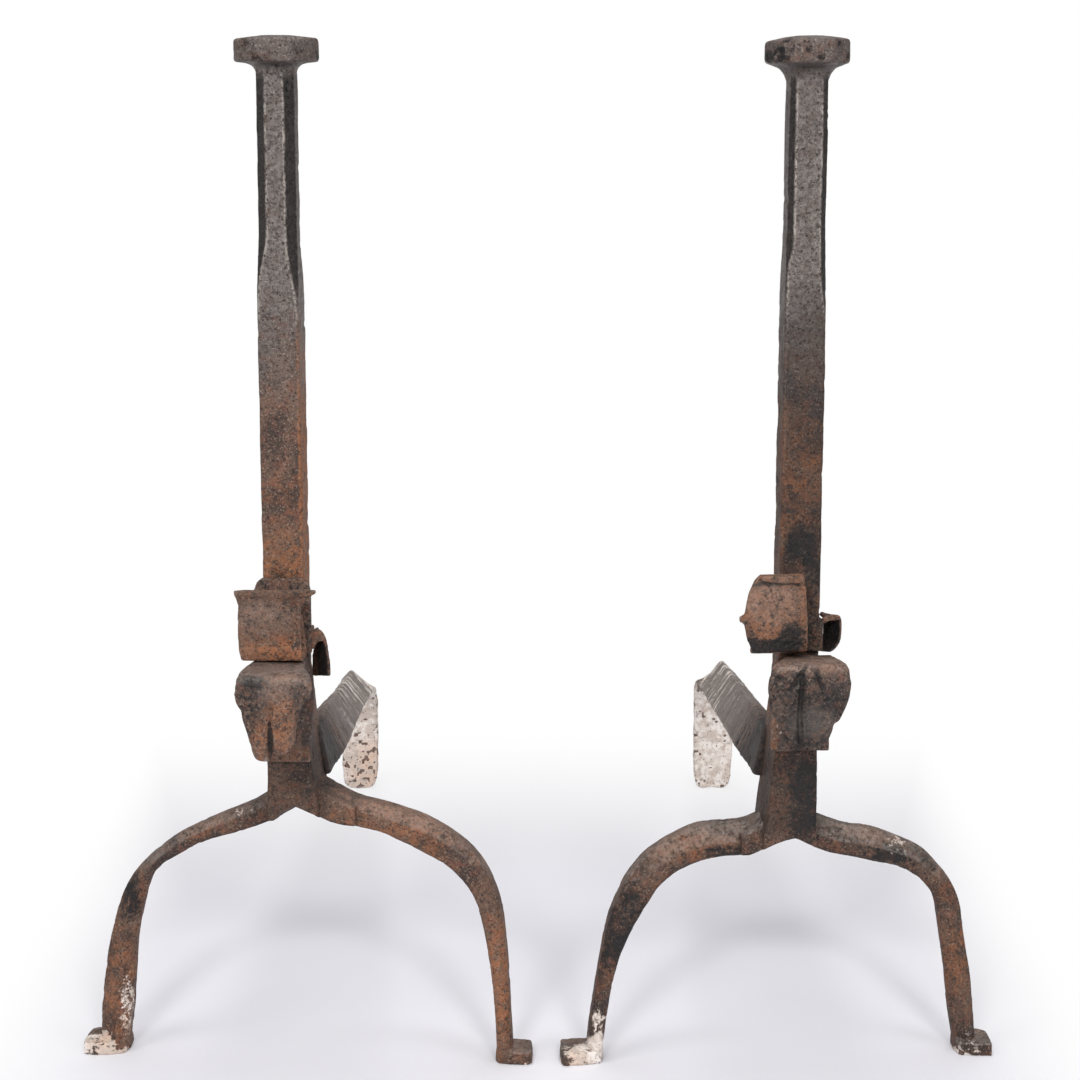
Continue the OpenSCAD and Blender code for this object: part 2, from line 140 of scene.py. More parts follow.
def ramp(x, lo, hi):
    """0 under lo, 1 over hi, and a smooth rise between."""
    t = np.clip((x - lo) / (hi - lo), 0, 1)
    return t * t * (3 - 2 * t)


# ------------------------------------------------------------------ meshes
def section(c, u, v, a, b, bevel, n=3):
    """Points round a bar with rounded corners: centre c, axes u and v, half sizes a and b."""
    out = []
    for sx, sy, a0 in ((1, 1, 0), (-1, 1, 90), (-1, -1, 180), (1, -1, 270)):
        for k in range(n + 1):
            t = math.radians(a0 + 90 * k / n)
            x = sx * (a - bevel) + bevel * math.cos(t)
            y = sy * (b - bevel) + bevel * math.sin(t)
            out.append(np.array(c) + x * np.array(u) + y * np.array(v))
    return np.array(out)


def loft(rings):
    """(vertices, faces) of a closed skin over rings."""
    n = len(rings[0])
    verts = np.concatenate(rings)
    faces = []
    for i in range(len(rings) - 1):
        for j in range(n):
            k = (j + 1) % n
            faces.append((i * n + j, i * n + k, (i + 1) * n + k, (i + 1) * n + j))
    last = (len(rings) - 1) * n
    faces.append(tuple(reversed(range(n))))
    faces.append(tuple(last + j for j in range(n)))
    return verts, faces


def slab(outline, lo, hi):
    """An outline in x and z, run from y = lo to y = hi."""
    o = np.array(outline, dtype=float)
    rings = [np.stack([o[:, 0], np.full(len(o), y), o[:, 1]], axis=1) for y in (lo, hi)]
    return loft(rings)


def catmull(points, per=8):
    """A smooth line through points."""
    p = np.array(points, dtype=float)
    p = np.concatenate([[2 * p[0] - p[1]], p, [2 * p[-1] - p[-2]]])
    out = []
    for i in range(1, len(p) - 2):
        for k in range(per):
            t = k / per
            out.append(0.5 * (2 * p[i] + (p[i + 1] - p[i - 1]) * t
                              + (2 * p[i - 1] - 5 * p[i] + 4 * p[i + 1] - p[i + 2]) * t * t
                              + (3 * p[i] - p[i - 1] - 3 * p[i + 1] + p[i + 2]) * t ** 3))
    out.append(p[-2])
    return np.array(out)


def mesh_object(name, parts):
    """One object from several (vertices in row frame mm, faces)."""
    verts, faces, base = [], [], 0
    for v, f in parts:
        verts.append(v)
        faces += [tuple(base + i for i in face) for face in f]
        base += len(v)
    mesh = bpy.data.meshes.new(name)
    mesh.from_pydata((np.concatenate(verts) * MM).tolist(), [], faces)
    mesh.update()
    obj = bpy.data.objects.new(name, mesh)
    bpy.context.collection.objects.link(obj)
    return obj


def forge(name, parts, voxel):
    """Fuses closed parts into one skin of even quads."""
    obj = mesh_object(name, parts)
    mod = obj.modifiers.new("fuse", "REMESH")
    mod.mode = "VOXEL"
    mod.voxel_size = voxel * MM
    mod.use_smooth_shade = True
    depsgraph = bpy.context.evaluated_depsgraph_get()
    fused = bpy.data.meshes.new_from_object(obj.evaluated_get(depsgraph))
    old = obj.data
    obj.modifiers.clear()
    obj.data = fused
    bpy.data.meshes.remove(old)
    fused.name = name
    return obj


def get_points(obj):
    """A piece's points in row frame millimetres, and its normals."""
    n = len(obj.data.vertices)
    co = np.empty(n * 3)
    obj.data.vertices.foreach_get("co", co)
    no = np.empty(n * 3)
    obj.data.vertices.foreach_get("normal", no)
    return co.reshape(-1, 3) / MM, no.reshape(-1, 3)


def set_points(obj, p):
    """Moves a piece's points to new places in row frame millimetres."""
    obj.data.vertices.foreach_set("co", (p * MM).ravel())
    obj.data.update()


def evened(mesh, p, rounds, factor):
    """Points drawn towards the mean of their neighbours, round after round."""
    e = np.empty(len(mesh.edges) * 2, dtype=np.int64)
    mesh.edges.foreach_get("vertices", e)
    one, other = e.reshape(-1, 2).T
    count = np.bincount(e, minlength=len(p))[:, None]
    for _ in range(rounds):
        near = np.zeros_like(p)
        for k in range(3):
            near[:, k] = (np.bincount(one, weights=p[other, k], minlength=len(p))
                          + np.bincount(other, weights=p[one, k], minlength=len(p)))
        p = p + factor * (near / count - p)
    return p


def smooth(obj, rounds):
    """Evens the surface out, as a file and years of handling do."""
    p, _ = get_points(obj)
    set_points(obj, evened(obj.data, p, rounds, 0.5))


def field(obj, name, values):
    """A named value per point that the materials read."""
    a = obj.data.attributes.new(name, "FLOAT", "POINT")
    a.data.foreach_set("value", np.clip(values, 0, 1).astype(np.float32))


def finish_piece(obj, slot, body, material, *nodes):
    """Material, smooth faces, and which body and solids a piece belongs to; slot is not used."""
    obj.data.materials.clear()
    obj.data.materials.append(material)
    for poly in obj.data.polygons:
        poly.use_smooth = True
    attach(obj, body)
    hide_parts(*nodes)


# ------------------------------------------------------------------ materials
class Nodes:
    """Short calls for a node tree."""

    def __init__(self, name):
        self.mat = bpy.data.materials.new(name)
        self.mat.use_nodes = True
        self.t = self.mat.node_tree
        self.t.nodes.clear()
        self.out = self.t.nodes.new("ShaderNodeOutputMaterial")
        self.bsdf = self.t.nodes.new("ShaderNodeBsdfPrincipled")
        self.t.links.new(self.bsdf.outputs[0], self.out.inputs[0])
        self.coord = self.t.nodes.new("ShaderNodeTexCoord").outputs["Object"]

    def put(self, socket, value):
        if isinstance(value, bpy.types.NodeSocket):
            self.t.links.new(value, socket)
        elif value is not None:
            socket.default_value = value

    def math(self, op, a, b=None, clamp=False):
        n = self.t.nodes.new("ShaderNodeMath")
        n.operation = op
        n.use_clamp = clamp
        self.put(n.inputs[0], a)
        self.put(n.inputs[1], b)
        return n.outputs[0]

    def noise(self, scale, detail, rough, distortion=0.0):
        n = self.t.nodes.new("ShaderNodeTexNoise")
        n.inputs["Scale"].default_value = scale
        n.inputs["Detail"].default_value = detail
        n.inputs["Roughness"].default_value = rough
        n.inputs["Distortion"].default_value = distortion
        self.put(n.inputs["Vector"], self.coord)
        return n.outputs["Fac"]

    def voronoi(self, scale, smooth):
        n = self.t.nodes.new("ShaderNodeTexVoronoi")
        n.feature = "SMOOTH_F1"
        n.inputs["Scale"].default_value = scale
        n.inputs["Smoothness"].default_value = smooth
        self.put(n.inputs["Vector"], self.coord)
        return n.outputs["Distance"]

    def range(self, value, lo, hi, to_lo=0.0, to_hi=1.0):
        n = self.t.nodes.new("ShaderNodeMapRange")
        n.interpolation_type = "SMOOTHSTEP"
        self.put(n.inputs["Value"], value)
        for key, v in (("From Min", lo), ("From Max", hi), ("To Min", to_lo), ("To Max", to_hi)):
            self.put(n.inputs[key], v)
        return n.outputs[0]

    def mix(self, fac, a, b):
        n = self.t.nodes.new("ShaderNodeMix")
        n.data_type = "RGBA"
        n.clamp_factor = True
        self.put(n.inputs[0], fac)
        self.put(n.inputs[6], rgba(a))
        self.put(n.inputs[7], rgba(b))
        return n.outputs[2]

    def attr(self, name):
        n = self.t.nodes.new("ShaderNodeAttribute")
        n.attribute_name = name
        return n.outputs["Fac"]

    def bump(self, height, distance):
        n = self.t.nodes.new("ShaderNodeBump")
        n.inputs["Distance"].default_value = distance
        self.put(n.inputs["Height"], height)
        return n.outputs[0]

    def times(self, a, b, clamp=False):
        return self.math("MULTIPLY", a, b, clamp=clamp)

    def plus(self, a, b, clamp=False):
        return self.math("ADD", a, b, clamp=clamp)

    def minus(self, a, b):
        return self.math("SUBTRACT", a, b)

    def weighted(self, *terms):
        """The sum of value times weight, for (value, weight) pairs."""
        total = self.times(*terms[0])
        for term in terms[1:]:
            total = self.plus(total, self.times(*term))
        return total


def rgba(c):
    """A socket as it is, or a colour with full alpha."""
    if isinstance(c, bpy.types.NodeSocket):
        return c
    return (c[0], c[1], c[2], 1.0)


def srgb(r, g, b):
    """Linear colour of an sRGB triple, 0 to 255."""
    parts = (v / 255 for v in (r, g, b))
    return tuple(v / 12.92 if v <= 0.04045 else ((v + 0.055) / 1.055) ** 2.4 for v in parts)


STEEL = srgb(122, 114, 110)
# pale steel for worn edges and specks, partly painted highlights and glints
STEEL_LIGHT = srgb(186, 176, 168)
STEEL_DARK = srgb(86, 79, 76)
STEEL_BROWN = srgb(96, 80, 72)
BROWN = srgb(112, 87, 72)
BROWN_DARK = srgb(66, 52, 46)
ORANGE = srgb(160, 105, 70)
RUST_RED = srgb(124, 84, 70)
TAN = srgb(158, 136, 120)
SOOT = srgb(32, 29, 29)
LIME = srgb(240, 232, 225)
LIME_GREY = srgb(205, 190, 178)
ASH = srgb(168, 158, 150)
PEACH = srgb(206, 160, 124)


# Depth of the finest grain, in metres.
BUMP_DEPTH = 0.0013


def iron(name, rust_scale, pit, metallic):
    """Forged iron: brown scale with pits, and orange, soot, grey bare metal, ash and lime where the fields
    say, with painted shade, painted edge highlights and painted light on upward leg facets.
    """
    m = Nodes(name)
    broad = m.noise(34 * rust_scale, 4, 0.6)
    mid = m.noise(150 * rust_scale, 4, 0.65)
    fine = m.noise(430, 3, 0.68)
    speck = m.noise(900, 2, 0.6)
    dark_speck = m.noise(560, 2, 0.6, distortion=0.4)
    grain = m.noise(1600, 2, 0.6)
    pits = m.voronoi(400, 0.4)
    pits_big = m.voronoi(170, 0.5)

    base = m.mix(m.range(broad, 0.4, 0.6), BROWN_DARK, BROWN)
    base = m.mix(m.range(mid, 0.48, 0.64, 0, 0.7), base, RUST_RED)
    base = m.mix(m.range(fine, 0.5, 0.62, 0, 0.6), base, BROWN_DARK)
    # orange rust
    orange = m.attr("orange")
    orange_mask = m.times(m.range(m.weighted((mid, 0.5), (fine, 0.5)), 0.38, 0.56), orange, clamp=True)
    base = m.mix(orange_mask, base, ORANGE)
    # bare worn steel
    bare = m.attr("bare")
    steel = m.mix(m.range(fine, 0.36, 0.6), STEEL_DARK, STEEL)
    steel = m.mix(m.range(mid, 0.5, 0.66, 0, 0.55), steel, STEEL_BROWN)
    base = m.mix(bare, base, steel)
    # pale and dark specks; the pale ones on bare steel are partly painted glints
    fewer = m.minus(1.0, m.times(bare, 0.55))
    base = m.mix(m.times(m.range(speck, 0.56, 0.66, 0, 0.6), fewer), base, m.mix(bare, TAN, STEEL_LIGHT))
    base = m.mix(m.times(m.range(dark_speck, 0.55, 0.66, 0, 0.62), fewer), base, SOOT)
    # worn edges lightened with pale steel, partly a painted highlight
    edge = m.attr("edge")
    base = m.mix(m.times(edge, m.range(fine, 0.36, 0.6), clamp=True), base, STEEL_LIGHT)
    # painted shade: faces turned from the light, undersides, hollows and parts behind others are darkened in
    # the colour; some pieces also get a deeper tone
    painted_shade_and_tone = m.attr("painted_shade_and_tone")
    base = m.mix(painted_shade_and_tone, base, m.mix(0.16, (0.004, 0.004, 0.004), base))
    # soot
    soot = m.attr("soot")
    soot_mask = m.range(m.plus(soot, m.times(m.minus(fine, 0.5), 1.6)), 0.3, 0.75)
    black = m.mix(m.range(mid, 0.5, 0.64, 0, 0.6), SOOT, BROWN_DARK)
    black = m.mix(m.range(speck, 0.6, 0.7, 0, 0.4), black, BROWN)
    base = m.mix(soot_mask, base, black)
    # dark bottoms of the pits
    pit_mask = m.range(pits, 0.08, 0.3, 1, 0)
    base = m.mix(m.times(pit_mask, 0.5 * pit), base, SOOT)
    # ash and dust, and painted light where the legs' facets face up
    ash_and_painted_light = m.attr("ash_and_painted_light")
    ash_and_light_mask = m.times(ash_and_painted_light, m.range(m.weighted((mid, 0.4), (fine, 0.6)), 0.36, 0.58), clamp=True)
    base = m.mix(ash_and_light_mask, base, ASH)
    # lime
    lime = m.attr("lime")
    lime_mask = m.range(m.plus(lime, m.times(m.minus(fine, 0.5), 1.3)), 0.4, 0.62)
    peach = m.attr("peach")
    lime_color = m.mix(m.range(mid, 0.4, 0.62), LIME_GREY, LIME)
    lime_color = m.mix(m.times(peach, m.range(mid, 0.35, 0.6), clamp=True), lime_color, PEACH)
    lime_color = m.mix(m.range(dark_speck, 0.6, 0.68, 0, 0.6), lime_color, BROWN_DARK)
    base = m.mix(lime_mask, base, lime_color)

    m.put(m.bsdf.inputs["Base Color"], base)
    shine = m.times(bare, m.range(fine, 0.3, 0.7, 0.3, 0.08), clamp=True)
    rough = m.minus(m.range(mid, 0.3, 0.7, 0.6, 0.8), shine)
    rough = m.plus(rough, m.times(lime_mask, 0.25), clamp=True)
    m.put(m.bsdf.inputs["Roughness"], rough)
    metal = m.times(m.plus(m.times(bare, 0.4), metallic),
                   m.minus(1.0, lime_mask), clamp=True)
    m.put(m.bsdf.inputs["Metallic"], metal)
    m.bsdf.inputs["IOR"].default_value = 1.5
    height = m.weighted((fine, 0.6), (grain, 0.25), (m.range(pits, 0.05, 0.35), 0.4 * pit),
                        (m.range(pits_big, 0.05, 0.4), 0.35 * pit))
    m.put(m.bsdf.inputs["Normal"], m.bump(height, BUMP_DEPTH))
    return m.mat


# ------------------------------------------------------------------ the forged frame: post, head and legs
# Seen edges of each leg, outer or upper edge first, from the post to the foot, in local x and z.
LEGS = {
    (LEFT, "outer"): dict(
        up=[(-2, 166), (-12, 165), (-25, 160), (-38, 154.3), (-55, 146.3), (-67, 139.6), (-79.2, 130.1),
            (-88.5, 121.2), (-96, 111.8), (-101.7, 101.7), (-106.3, 90.3), (-110.5, 75.2), (-113.4, 61.3),
            (-116.1, 43.6), (-117.9, 27.7), (-118.6, 14), (-118.8, 3)],
        low=[(-2, 153), (-7.5, 150.6), (-18.5, 145.3), (-31, 140.4), (-43.2, 136.4), (-55.2, 131.9),
             (-67.4, 124.8), (-78.4, 117.2), (-84.3, 110.2), (-88.2, 99.5), (-91.3, 88.2), (-94.2, 74.4),
             (-96.2, 58.6), (-97.6, 44.1), (-99, 28), (-101, 14), (-103, 3)],
        depth=(17, 14, 13, 14, 20), top=(0.5, 0.45, 0.75, 1.1, 1.15), low_facet=(0.0, 0.1, 0.5, 0.75, 0.7)),
    (LEFT, "inner"): dict(
        up=[(2, 180), (23, 173.3), (36.3, 166.3), (50, 162.8), (64, 159), (81.5, 150.8), (96.1, 140.2),
            (107.8, 129.5), (116.6, 116.8), (122.4, 102.8), (125.3, 87.5), (127, 72), (127.9, 53.4),
            (128.4, 34.6), (128.8, 18), (129, 3)],
        low=[(2, 157), (12.5, 152.4), (27.2, 147.8), (40, 145), (52, 142.3), (66.6, 136.5), (81.3, 128.9),
             (94.2, 121.2), (103.6, 111), (109.4, 100.6), (113.5, 85.3), (116.4, 68.6), (118.7, 50),
             (119.5, 34.4), (119.7, 18.7), (120, 3)],
        depth=(18, 18, 18, 17, 18), top=(0.62, 0.6, 0.5, 0.35, 0.3), low_facet=(0.0, 0.0, 0.0, 0.1, 0.15)),
    (RIGHT, "inner"): dict(
        up=[(2, 158), (18.6, 153.6), (27.5, 151.6), (36.3, 150.7), (51, 149.8), (59.8, 147.8), (68.6, 143.1),
            (77.4, 137.1), (86.2, 129.3), (92, 121.5), (97.9, 113), (103.1, 102), (107.8, 89.8),
            (110.6, 77.4), (113.5, 62), (116.4, 40.2), (118.1, 24.5), (119, 12), (119.5, 3)],
        low=[(-2, 139), (7, 132.4), (15.2, 129.1), (27.1, 127.5), (41.9, 126.6), (53.7, 124.4), (65.4, 119.7),
             (72.5, 114.9), (80.1, 107.7), (84.2, 101), (91.8, 88.2), (97.6, 75.9), (102.3, 64.8),
             (105.8, 49.3), (107.5, 36.8), (109.3, 21.2), (110, 12), (110.5, 3)],
        depth=(18, 19, 18, 17, 18), top=(0.95, 0.95, 0.75, 0.3, 0.25), low_facet=(0.1, 0.1, 0.1, 0.1, 0.15)),
    (RIGHT, "outer"): dict(
        up=[(2, 155), (-17, 150.6), (-32.5, 146), (-43.8, 144.5), (-52.8, 141.9), (-64.9, 136.8),
            (-77, 130.4), (-86.2, 121.5), (-94.4, 110.2), (-100.1, 99.5), (-103.5, 88.2), (-105.2, 75.7),
            (-108.1, 59.9), (-110.5, 44.1), (-112, 28.3), (-113.2, 14), (-114, 3)],
        low=[(2, 139), (-14.4, 131.2), (-23.4, 127.7), (-35.4, 125), (-50.4, 121), (-62.4, 118),
             (-74.6, 111.4), (-83.8, 102), (-87.1, 94.8), (-89.3, 82.3), (-91.5, 69.7), (-94.4, 54),
             (-96.2, 37), (-98.5, 22.3), (-100.5, 12), (-102, 3)],
        depth=(17, 15, 13, 13, 18), top=(0.9, 0.85, 0.7, 0.8, 0.4), low_facet=(0.0, 0.1, 0.3, 0.9, 1.3)),
}

# The feet from above, in local x and y.
FEET = {
    (LEFT, "outer"): [(-131.6, 3.5), (-130.4, 0.2), (-121, -1.4), (-112, 0.2), (-104.6, 3), (-103, 10),
                      (-103, 20), (-107, 25), (-117, 23.4), (-126.5, 25.5), (-129.5, 22)],
    (LEFT, "inner"): [(119, 7), (121, 3.2), (130, 1.8), (139.6, 2.2), (141.2, 5.0), (141.0, 15), (139.6, 24),
                      (129, 25.5), (120.5, 24), (119, 17)],
    (RIGHT, "inner"): [(109.8, 7), (111.5, 1.6), (122, 0.0), (133.4, -1.2), (135.4, 0.6), (135.6, 9),
                       (134.6, 23.4), (127, 24.5), (117, 24.5), (110, 23)],
    (RIGHT, "outer"): [(-102.6, 8), (-104, 1), (-114, -1), (-124.6, -1.6), (-127, 0.6), (-127, 8),
                       (-125.6, 20.5), (-121, 24.5), (-108, 24.5), (-103, 20)],
}
# The point under the post where the legs part, in local x and z.
CROTCH = {LEFT: (3.5, 161.0), RIGHT: (-1.5, 142.5)}
# The lower edge between the legs in the post's front plane, in local x and z.
CROTCH_LINE = {
    LEFT: [(-34, 140), (-21, 147), (-9, 152), (-5, 157), (3.5, 162), (10.5, 159), (21, 154), (34, 147.5)],
    RIGHT: [(-30, 128), (-16.5, 134), (-5, 140.5), (0, 142), (5, 141), (11, 139), (18.5, 135.5), (32, 129)],
}


def along(values, t):
    """The value at t, from 0 to 1, of values spaced evenly."""
    return float(np.interp(t, np.linspace(0, 1, len(values)), values))


def resample(points, n):
    """n points spaced evenly along a smooth line."""
    p = catmull(points, 6)
    d = np.concatenate([[0], np.cumsum(np.linalg.norm(np.diff(p, axis=0), axis=1))])
    t = np.linspace(0, d[-1], n)
    return np.stack([np.interp(t, d, p[:, k]) for k in range(2)], axis=1)


# The legs stand this far towards the picture's left (left andiron) or right (right one), and the arms' upper
# edges this much lower, than the outlines above.
LEG_SHIFT = 1.6
ARM_DROP = {(LEFT, "outer"): 3.0, (LEFT, "inner"): 4.0, (RIGHT, "inner"): 5.0, (RIGHT, "outer"): 3.0}


def leg_line(side, which, edge):
    """One seen edge of a leg; shift and drop start beside the post, the drop fades out before the knee."""
    line = np.array(LEGS[side, which][edge], dtype=float)
    out = np.abs(line[:, 0])
    line[:, 0] -= LEG_SHIFT * ramp(out, 20, 60) * (1 if which == "outer" else ramp(line[:, 1], 0, 70))
    if edge == "up":
        line[:, 1] -= ARM_DROP[side, which] * ramp(out, 8, 24) * (1 - ramp(out, 60, 105))
    return line


LEG_RINGS = 46
LEG_BEVEL = 1.6
# How far a full facet reaches back along the bar's side.
FACET_DEPTH = 5.5
# The foot's edge: height, and its outline's size there.
FOOT_EDGE = ((0.0, 0.99), (0.8, 1.0), (6.6, 0.99), (7.9, 0.94))


def leg_section(half_height, half_depth, top, low):
    """Section of a leg's bar, with facets at its front's upper and lower edges, from 0 to about 1."""
    a, b = half_height, half_depth
    low_front = -a + LEG_BEVEL + low * a
    top_front = a - LEG_BEVEL - top * a
    if low_front > top_front:
        middle = (low_front + top_front) / 2
        low_front, top_front = middle - 0.3, middle + 0.3
    return [(-a + LEG_BEVEL, b), (-a, b - LEG_BEVEL), (-a, -b + LEG_BEVEL + low * FACET_DEPTH),
            (low_front, -b), (top_front, -b), (a, -b + LEG_BEVEL + top * FACET_DEPTH), (a, b - LEG_BEVEL),
            (a - LEG_BEVEL, b)]


def leg_parts(side, which):
    """The leg's bar and its foot, in local millimetres."""
    spec = LEGS[side, which]
    up, low = (resample(leg_line(side, which, edge), LEG_RINGS) for edge in ("up", "low"))
    rings = []
    for i, (top, bottom) in enumerate(zip(up, low)):
        t = i / (LEG_RINGS - 1)
        c = (top + bottom) / 2
        half = np.linalg.norm(top - bottom) / 2
        v = (top - bottom) / (2 * half)
        shape = leg_section(half, along(spec["depth"], t) / 2, along(spec["top"], t),
                            along(spec["low_facet"], t))
        rings.append(np.array([(c[0] + p * v[0], LEG_BACK + q, c[1] + p * v[1]) for p, q in shape]))
    foot = np.array(FEET[side, which], dtype=float)
    mid = foot.mean(axis=0)
    pad = [np.column_stack([mid + (foot - mid) * grow, np.full(len(foot), z)]) for z, grow in FOOT_EDGE]
    return [loft(rings), loft(pad)]


# The neck's front flat, and the heights where the corner facet on each side begins and is full.
NECKS = {
    LEFT: dict(flat=10.4, tongues={-1: (461, 492), 1: (446, 488)}),
    RIGHT: dict(flat=14.4, tongues={-1: (440, 470), 1: (471, 486)}),
}


def post_width(z):
    """Half the post's width: the square bar, drawn down to the neck."""
    k = ramp(np.asarray(z, dtype=float), 452, 500)
    return HALF * (1 - k) + NECK_FLAT / 2 * k


def corner_cut(side, s, z):
    """How much of the front face the slanted corner on side s takes."""
    lo, hi = NECKS[side]["tongues"][s]
    full = (NECK_FLAT - NECKS[side]["flat"]) / 2
    return 1.2 + (full - 1.2) * ramp(np.asarray(z, dtype=float), lo, hi)


# The post spreads below this height, inward and outward, and its heel stands out to the back.
SPREAD_FROM = 214
INNER_SPREAD = 6.5
OUTER_SPREAD = {LEFT: 0.2, RIGHT: 1.3}
HEEL_BACK = 30


def post_part(side):
    """The post from the crotch to under its head."""
    x0, apex = CROTCH[side]
    levels = [apex, apex + 3, apex + 12, apex + 24, 184, 192, 200, 208, 216, 226, 238, 250]
    levels += list(range(258, 580, 6)) + [581]
    rings = []
    for z in levels:
        low = float(np.clip((SPREAD_FROM - z) / (SPREAD_FROM - apex), 0, 1))
        wide = float(post_width(z))
        inner, outer = wide + INNER_SPREAD * low ** 1.4, wide + OUTER_SPREAD[side] * low
        back = wide + (HEEL_BACK - HALF) * float(1 - ramp(np.array(float(z)), 200, 250))
        front = wide
        cut = {t: float(corner_cut(side, t, z)) for t in (-1, 1)}
        # clockwise from the back right corner, in local x and y
        ring = [(inner, back - cut[1]), (inner - cut[1], back), (x0, back), (-outer + cut[-1], back),
                (-outer, back - cut[-1]), (-outer, -front + cut[-1]), (-outer + cut[-1], -front),
                (x0, -front), (inner - cut[1], -front), (inner, -front + cut[1])]
        # the lowest ring falls off to both sides and to the back
        fall = (0.62, 0.12) if z == apex else (0, 0)
        rings.append(np.array([(x, y, z - fall[0] * abs(x - x0) - fall[1] * (y + HALF)) for x, y in ring]))
    return loft(rings)


# Rings of the weld between post and inner leg: local x, front and back in y, low and high in z.
WELDS = {
    LEFT: [(6, -9.5, 24, 157, 178), (14, -9.0, 22, 153.5, 174), (22, -6.5, 18, 150.5, 167.5),
           (30, -5.0, 14, 148, 163), (38, -3.0, 12, 146.5, 158.5)],
    RIGHT: [(6, -8.0, 24, 136, 157), (14, -6.5, 20, 132, 151.5), (22, -5.0, 15, 129.5, 146),
            (30, -3.0, 12, 128.5, 142)],
}


def weld_part(side):
    """Where the inner leg flows into the post's foot."""
    return loft([section((x, (y0 + y1) / 2, (z0 + z1) / 2), (0, 1, 0), (0, 0, 1), (y1 - y0) / 2,
                         (z1 - z0) / 2, 3.0) for x, y0, y1, z0, z1 in WELDS[side]])


# Each head from the cove up: radius and height; how its rim waves, and how its top falls to one side.
HEADS = {
    LEFT: dict(
        profile=[(9.0, 560), (10.2, 573), (10.8, 577), (11.8, 581), (13.2, 583.4), (16.0, 584.6),
                 (22.6, 585.6), (23.3, 586.2), (23.5, 588.0), (23.4, 596.6), (23.1, 597.9), (22.2, 598.5),
                 (15.0, 599.4), (8.0, 600.1)],
        wave=0.8, fall=lambda x: 0.012 * (23 - x)),
    RIGHT: dict(
        profile=[(9.0, 554), (10.4, 568), (11.4, 574), (13.0, 578.6), (15.6, 582.0), (22.6, 584.8),
                 (23.3, 585.5), (23.5, 587.5), (23.4, 596.4), (23.0, 597.6), (21.8, 598.2), (14.0, 599.4),
                 (7.0, 600.1)],
        wave=2.1, fall=lambda x: 0.062 * max(0.0, x + 2)),
}
HEAD_CORNERS = 40
HEAD_TOP_FROM = 590


def head_part(side):
    """The nail head: a hammered disc with a short cove under it."""
    spec = HEADS[side]
    rings = []
    for r, z in spec["profile"]:
        ring = []
        for k in range(HEAD_CORNERS):
            t = 2 * math.pi * k / HEAD_CORNERS
            flat = 1 - 0.012 * math.cos(9 * t + spec["wave"]) - 0.008 * math.cos(4 * t + 1)
            x, y = r * flat * math.cos(t), r * flat * math.sin(t)
            ring.append((x, y, z - spec["fall"](x) if z > HEAD_TOP_FROM else z))
        rings.append(np.array(ring))
    return loft(rings)


def place(parts, side, turned=True):
    """Local parts to the row frame."""
    return [(to_pair(v, side, turned), f) for v, f in parts]


def outward(parts):
    """Turns a part's faces outward where its volume comes out negative."""
    out = []
    for v, f in parts:
        vol = 0.0
        for q in f:
            for k in range(1, len(q) - 1):
                vol += np.dot(v[q[0]], np.cross(v[q[k]], v[q[k + 1]]))
        out.append((v, f if vol > 0 else [tuple(reversed(q)) for q in f]))
    return out


def kept_inside(p):
    """Points held within the solids' box."""
    return np.clip(p, BOX_LO + BOX_MARGIN, BOX_HI - BOX_MARGIN)


def hammer(obj, amount, wave, pits, seed, rounds):
    """Hand-forged unevenness and pits, along the surface's own normals, kept inside the solids' box."""
    smooth(obj, rounds)
    p, n = get_points(obj)
    d = amount * fractal(p, wave, seed, 2) + amount * 0.45 * noise(p, wave * 0.38, seed + 5)
    d += 0.11 * fractal(p, 3.6, seed + 9, 2)
    hollow = noise(p, 4.4, seed + 21)
    d -= pits * ramp(hollow, 0.38, 0.8)
    d -= pits * 1.2 * ramp(noise(p, 8.5, seed + 31), 0.55, 0.9)
    set_points(obj, kept_inside(p + n * d[:, None]))


def curvature(obj, rounds=7):
    """How far each point stands out from its smoothed surroundings: over 0 on edges, under 0 in corners."""
    p, n = get_points(obj)
    return ((p - evened(obj.data, p, rounds, 0.6)) * n).sum(axis=1)


def spot(q, centre, radius, soft=0.5):
    """1 inside an ellipsoid round a centre, falling to 0 over its soft rim."""
    d = np.linalg.norm((q - np.array(centre)) / np.array(radius), axis=1)
    return 1 - ramp(d, 1 - soft, 1 + soft)


def spots(q, rows):
    """The sum of several spots, from rows of strength, centre, radius and, if unusual, softness."""
    total = np.zeros(len(q))
    for strength, *shape in rows:
        total += strength * spot(q, *shape)
    return total


